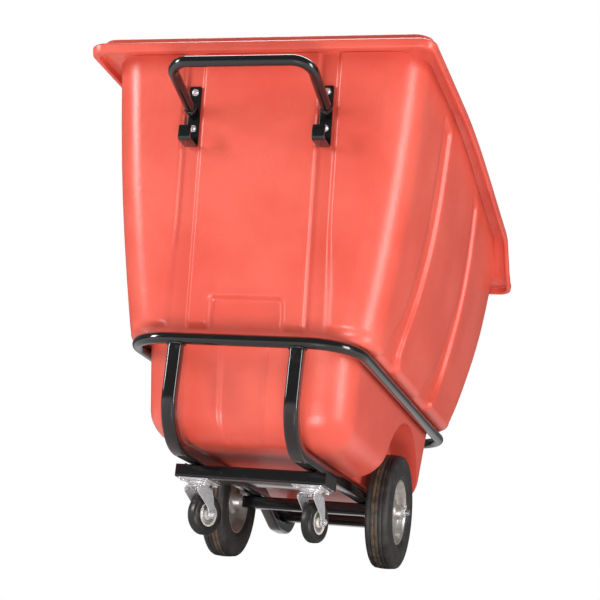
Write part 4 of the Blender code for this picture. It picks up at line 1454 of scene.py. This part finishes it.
class CasterMaker(Maker):
    """Builds a swivel caster from its fork, races, wheel, axle bolt and plate bolts."""

    def __init__(self, palette: Palette, side: Side, frame: dict) -> None:
        """Find the caster's place and the way it points.

        Args:
            palette: the finishes.
            side: which side of the truck.
            frame: the loaded frame.
        """
        super().__init__(palette)
        self.sizes = CasterSizes()
        self.side = side
        joints = {joint["name"]: joint for joint in frame["joints"]}
        spin = joints[f"caster_wheel_spin_{side.word}"]
        pin = joints[f"caster_swivel_{side.word}"]["pos_m"]
        self.pin = Vector((pin[0], pin[1], 0.0))
        self.across = Vector(spin["axis"]).normalized()
        self.hub = Vector(spin["pos_m"])
        ahead = Vector((0, 0, 1)).cross(self.across)
        turn = Matrix((self.across, ahead, Vector((0, 0, 1)))).transposed().to_4x4()
        self.local = Matrix.Translation(self.pin) @ turn
        self.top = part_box(f"caster_fork_{side.word}")[1].z

    def fork(self) -> None:
        """The pressed fork: a crowned bridge with two tapering cheeks."""
        size = self.sizes
        edge = size.cheek + size.sheet / 2
        outline = [(-0.026, self.top - 0.003, 0.004), (0.026, self.top - 0.003, 0.004),
                   (0.0345, self.top - 0.020, 0.020), (size.trail + 0.0110, size.wheel_r + 0.002, 0.016),
                   (size.trail + 0.0100, size.wheel_r - 0.0110, 0.0090),
                   (size.trail - 0.0095, size.wheel_r - 0.0110, 0.0090),
                   (size.trail - 0.0125, size.wheel_r + 0.012, 0.020), (-0.004, self.top - 0.032, 0.022),
                   (-0.026, self.top - 0.014, 0.008)]
        flat = soften(outline, 6, closed=True)
        for index, sign in enumerate((-1.0, 1.0)):
            matrix = self.local @ Matrix.Translation((sign * edge, 0, 0)) @ Matrix.Rotation(math.pi / 2, 4, "Z") \
                @ Matrix.Rotation(math.pi / 2, 4, "X")
            cheek = slab(f"fork_cheek_{self.side.word}_{index}", flat, size.sheet, matrix, edge=0.0007)
            self.place(cheek, Body.CASTER.on(self.side), self.palette.zinc, "zinc_plate")
        wide = 2 * size.cheek + 2 * size.sheet
        bridge = slab(f"fork_bridge_{self.side.word}", rounded_box(wide, 0.052, 0.009, 5), size.sheet,
                      self.local @ Matrix.Translation((0, 0, self.top - size.sheet / 2)), edge=0.0009)
        self.place(bridge, Body.CASTER.on(self.side), self.palette.zinc, "zinc_plate",
                   [f"caster_fork_{self.side.word}"])

    def races(self) -> None:
        """The upper race fixed to the plate, the lower one on the fork, and the balls between."""
        word = self.side.word
        low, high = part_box(f"caster_race_{word}")
        middle = Matrix.Translation((self.pin.x, self.pin.y, 0.0))
        upper = [(0.0062, high.z, 0.0), (0.0272, high.z, 0.0012), (0.0288, high.z - 0.0036, 0.002),
                 (0.0276, high.z - 0.0062, 0.001), (0.0225, high.z - 0.0058, 0.002), (0.0062, high.z - 0.0058, 0.0)]
        lower = [(0.0062, low.z + 0.0002, 0.0), (0.0235, low.z + 0.0002, 0.0012), (0.0262, low.z + 0.0018, 0.0012),
                 (0.0264, low.z + 0.0040, 0.0008), (0.0220, low.z + 0.0036, 0.002), (0.0062, low.z + 0.0036, 0.0)]
        race = lathe(f"upper_race_{word}", upper, middle, steps=64, arc=3)
        self.place(race, Body.TRUCK.value, self.palette.zinc, "zinc_plate", [f"caster_race_{word}"])
        cup = lathe(f"lower_race_{word}", lower, middle, steps=64, arc=3)
        self.place(cup, Body.CASTER.on(self.side), self.palette.zinc, "zinc_plate")
        spots = [Vector((self.pin.x + 0.0238 * math.cos(turn), self.pin.y + 0.0238 * math.sin(turn), low.z + 0.0048))
                 for turn in spread(0.0, 2 * math.pi * 25 / 26, 26)]
        unit = lathe("ball", [(0.5 * math.sin(turn), 0.5 * math.cos(turn), 0.0) for turn in spread(0.0, math.pi, 7)],
                     Matrix.Identity(4), steps=10, solid=False)
        balls = repeated(f"race_balls_{word}", spots, unit, 0.0046, self.palette.steel)
        self.place(balls, Body.TRUCK.value, self.palette.steel, "bright_steel")

    def wheel(self) -> None:
        """The tread, the core with its web, and the thread guards."""
        size = self.sizes
        half = size.wheel_w / 2
        matrix = aim(self.hub, self.across)
        word = self.side.word
        tread = [(0.0303, 0.0134, 0.0), (0.0318, 0.0140, 0.001), (0.0400, half, 0.004), (0.0470, 0.0138, 0.003),
                 (0.0502, 0.0090, 0.004), (size.wheel_r, 0.0, 0.020)]
        profile = tread + [(radius, -height, curve) for radius, height, curve in reversed(tread[:-1])]
        tyre = lathe(f"caster_tyre_{word}", profile, matrix, steps=80, arc=4)
        self.place(tyre, Body.CASTER_WHEEL.on(self.side), self.palette.tread, "black_rubber", [f"caster_tread_{word}"])
        face = [(0.0068, 0.0165, 0.0), (0.0120, 0.0165, 0.0008), (0.0134, 0.0108, 0.001), (0.0160, 0.0098, 0.001),
                (0.0246, 0.0098, 0.0006), (0.0258, 0.0128, 0.001), (0.0300, 0.0134, 0.0004)]
        back = [(radius, -height, curve) for radius, height, curve in reversed(face)]
        core = lathe(f"caster_hub_{word}", face + back, matrix, steps=72, arc=3)
        self.place(core, Body.CASTER_WHEEL.on(self.side), self.palette.nylon, "grey_nylon", [f"caster_core_{word}"])
        guard = [(0.0136, 0.0112, 0.0), (0.0150, 0.0122, 0.0008), (0.0236, 0.0114, 0.0008), (0.0242, 0.0101, 0.0),
                 (0.0136, 0.0101, 0.0)]
        for index, sign in enumerate((-1.0, 1.0)):
            cover = lathe(f"thread_guard_{word}_{index}", guard, aim(self.hub, self.across * sign), steps=64, arc=2)
            self.place(cover, Body.CASTER_WHEEL.on(self.side), self.palette.steel, "bright_steel")

    def fasteners(self) -> None:
        """The axle bolt and its nut, and the four bolts of the plate."""
        word = self.side.word
        size = self.sizes
        outside = size.cheek + size.sheet + 0.0003
        matrix = aim(self.hub, self.across)
        head = [Vector((0.0077 * math.cos(turn), 0.0077 * math.sin(turn))) for turn in spread(0.0, math.pi * 5 / 3, 6)]
        seat = matrix @ Matrix.Translation((0, 0, -outside - 0.0025))
        bolt = slab(f"axle_bolt_head_{word}", head, 0.0048, seat, 0.0006)
        self.place(bolt, Body.CASTER.on(self.side), self.palette.zinc, "zinc_plate")
        shank = [(0.0, outside + 0.0100, 0.0), (0.0040, outside + 0.0100, 0.0008), (0.0040, -outside - 0.001, 0.0),
                 (0.0, -outside - 0.001, 0.0)]
        pin = lathe(f"axle_bolt_shank_{word}", shank, matrix, steps=28, arc=3, solid=False)
        self.place(pin, Body.CASTER.on(self.side), self.palette.zinc, "zinc_plate", [f"caster_axle_{word}"])
        wide = [Vector((0.0084 * math.cos(turn), 0.0084 * math.sin(turn))) for turn in spread(0.0, math.pi * 5 / 3, 6)]
        nut = slab(f"axle_bolt_nut_{word}", wide, 0.0070, matrix @ Matrix.Translation((0, 0, outside + 0.0036)), 0.0008)
        self.place(nut, Body.CASTER.on(self.side), self.palette.zinc, "zinc_plate", [f"caster_nut_{word}"])
        names = [f"caster_bolt_{word}_{index}" for index in range(1, 5)]
        spots = [centre_of(name) + Vector((0.0, 0.0, 0.0001)) for name in names]
        hexagon = [(0.5 * math.cos(turn), 0.5 * math.sin(turn), 0.04) for turn in spread(0.0, math.pi * 5 / 3, 6)]
        unit = slab("head", soften(hexagon, 2, closed=True), 0.34, Matrix.Identity(4), 0.03)
        heads = repeated(f"plate_bolts_{word}", spots, unit, 0.0138, self.palette.zinc)
        self.place(heads, Body.TRUCK.value, self.palette.zinc, "zinc_plate", names)

    def plate(self) -> None:
        """The top plate with rounded corners."""
        low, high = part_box(f"caster_plate_{self.side.word}")
        middle = (low + high) / 2
        outline = rounded_box(high.x - low.x, high.y - low.y, 0.006, 5)
        plate = slab(f"top_plate_{self.side.word}", outline, high.z - low.z, Matrix.Translation(middle), 0.0008)
        self.place(plate, Body.TRUCK.value, self.palette.zinc, "zinc_plate", [f"caster_plate_{self.side.word}"])

    def build(self, frame: dict) -> None:
        """Build the caster.

        Args:
            frame: the loaded frame.
        """
        self.fork()
        self.races()
        self.wheel()
        self.fasteners()
        self.plate()
        self.dress(frame, self.palette.steel, f"caster_kingpin_{self.side.word}", f"caster_bush_{self.side.word}")


# ---- studio -------------------------------------------------------------------------------
@dataclass
class Studio:
    """A plain pale floor, soft lights and the camera, which looks up from low behind the truck."""

    azimuth: float = 17.14
    elevation: float = -14.96
    roll: float = 6.26
    lens: float = 95.945
    eye: tuple[float, float, float] = (1.20497, -4.19129, -0.43613)
    ambient: float = 0.42
    mirrored: float = 0.16

    def camera(self, axle_y: float) -> None:
        """Set up the camera; its eye is measured from the main axle."""
        data = bpy.data.cameras.new("camera")
        data.lens = self.lens
        data.sensor_width = 36.0
        data.clip_start = 0.05
        data.clip_end = 60.0
        camera = bpy.data.objects.new("camera", data)
        bpy.context.scene.collection.objects.link(camera)
        azimuth, elevation = math.radians(self.azimuth), math.radians(self.elevation)
        turn = Matrix.Rotation(azimuth, 4, "Z") @ Matrix.Rotation(math.pi / 2 - elevation, 4, "X") \
            @ Matrix.Rotation(math.radians(self.roll), 4, "Z")
        camera.matrix_world = Matrix.Translation(Vector(self.eye) + Vector((0.0, axle_y, 0.0))) @ turn
        bpy.context.scene.camera = camera

    def light(self, name: str, place: Sequence[float], target: Sequence[float], size: Pair, power: float) -> None:
        """One soft rectangular light aimed at a point."""
        data = bpy.data.lights.new(name, "AREA")
        data.shape = "RECTANGLE"
        data.size, data.size_y = size
        data.energy = power
        lamp = bpy.data.objects.new(name, data)
        bpy.context.scene.collection.objects.link(lamp)
        lamp.location = place
        lamp.rotation_euler = (Vector(target) - Vector(place)).to_track_quat("-Z", "Y").to_euler()
        lamp.visible_camera = False

    def floor(self) -> None:
        """A pale floor that can be seen from above only, so that the low camera looks through it."""
        sheet = Sheet()
        corners = [Vector((x, y, -0.0005)) for x, y in ((-9, -9), (9, -9), (9, 9), (-9, 9))]
        verts = [sheet.work.verts.new(corner) for corner in corners]
        sheet.work.faces.new(verts)
        data = bpy.data.meshes.new("floor")
        sheet.work.to_mesh(data)
        sheet.work.free()
        floor = bpy.data.objects.new("floor", data)
        bpy.context.scene.collection.objects.link(floor)
        shader = Shader("pale_floor")
        shader.set(Base_Color=tone(0.86, 0.86, 0.86), Roughness=0.7)
        back = shader.node("ShaderNodeNewGeometry", {}, {}).outputs["Backfacing"]
        clear = shader.node("ShaderNodeBsdfTransparent", {}, {}).outputs[0]
        both = shader.node("ShaderNodeMixShader", {}, {0: back, 1: shader.surface.outputs[0], 2: clear})
        shader.links.new(both.outputs[0], shader.nodes["Material Output"].inputs["Surface"])
        floor.data.materials.append(shader.material)
        floor.visible_shadow = False

    def world(self) -> None:
        """A surround that is white behind the truck and dimmer as a light."""
        world = bpy.data.worlds.new("surround")
        bpy.context.scene.world = world
        world.use_nodes = True
        nodes, links = world.node_tree.nodes, world.node_tree.links
        paths = nodes.new("ShaderNodeLightPath").outputs
        dim = nodes.new("ShaderNodeMapRange")
        dim.inputs["To Min"].default_value = self.ambient
        dim.inputs["To Max"].default_value = self.mirrored
        links.new(paths["Is Glossy Ray"], dim.inputs["Value"])
        level = nodes.new("ShaderNodeMapRange")
        links.new(dim.outputs[0], level.inputs["To Min"])
        links.new(paths["Is Camera Ray"], level.inputs["Value"])
        ground = nodes["Background"]
        ground.inputs["Color"].default_value = (1.0, 1.0, 1.0, 1.0)
        links.new(level.outputs[0], ground.inputs["Strength"])

    def build(self) -> None:
        """Set up the whole studio."""
        bpy.context.scene.view_settings.view_transform = "Standard"
        self.camera(centre_of("axle").y)
        self.floor()
        self.world()
        target = (0.0, -0.2, 0.6)
        self.light("key", (-3.2, -2.6, 1.7), target, (0.7, 1.6), 105.0)
        self.light("front", (1.2, -3.9, -2.2), target, (1.8, 1.8), 160.0)
        self.light("side", (3.6, -1.2, 0.7), target, (0.9, 2.6), 90.0)
        self.light("top", (0.0, 0.6, 3.4), target, (2.6, 0.9), 45.0)


def main() -> None:
    """Build the truck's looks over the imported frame."""
    logging.basicConfig(level=logging.INFO, format="%(name)s: %(message)s")
    for old in list(bpy.data.objects):
        bpy.data.objects.remove(old, do_unlink=True)
    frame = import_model()
    palette = Palette()
    TubMaker(palette).build()
    FrameMaker(palette).build()
    HandleMaker(palette).build()
    WheelMaker(palette).build(frame)
    for side in Side:
        CasterMaker(palette, side, frame).build(frame)
    Studio().build()


if __name__ == "__main__":
    main()
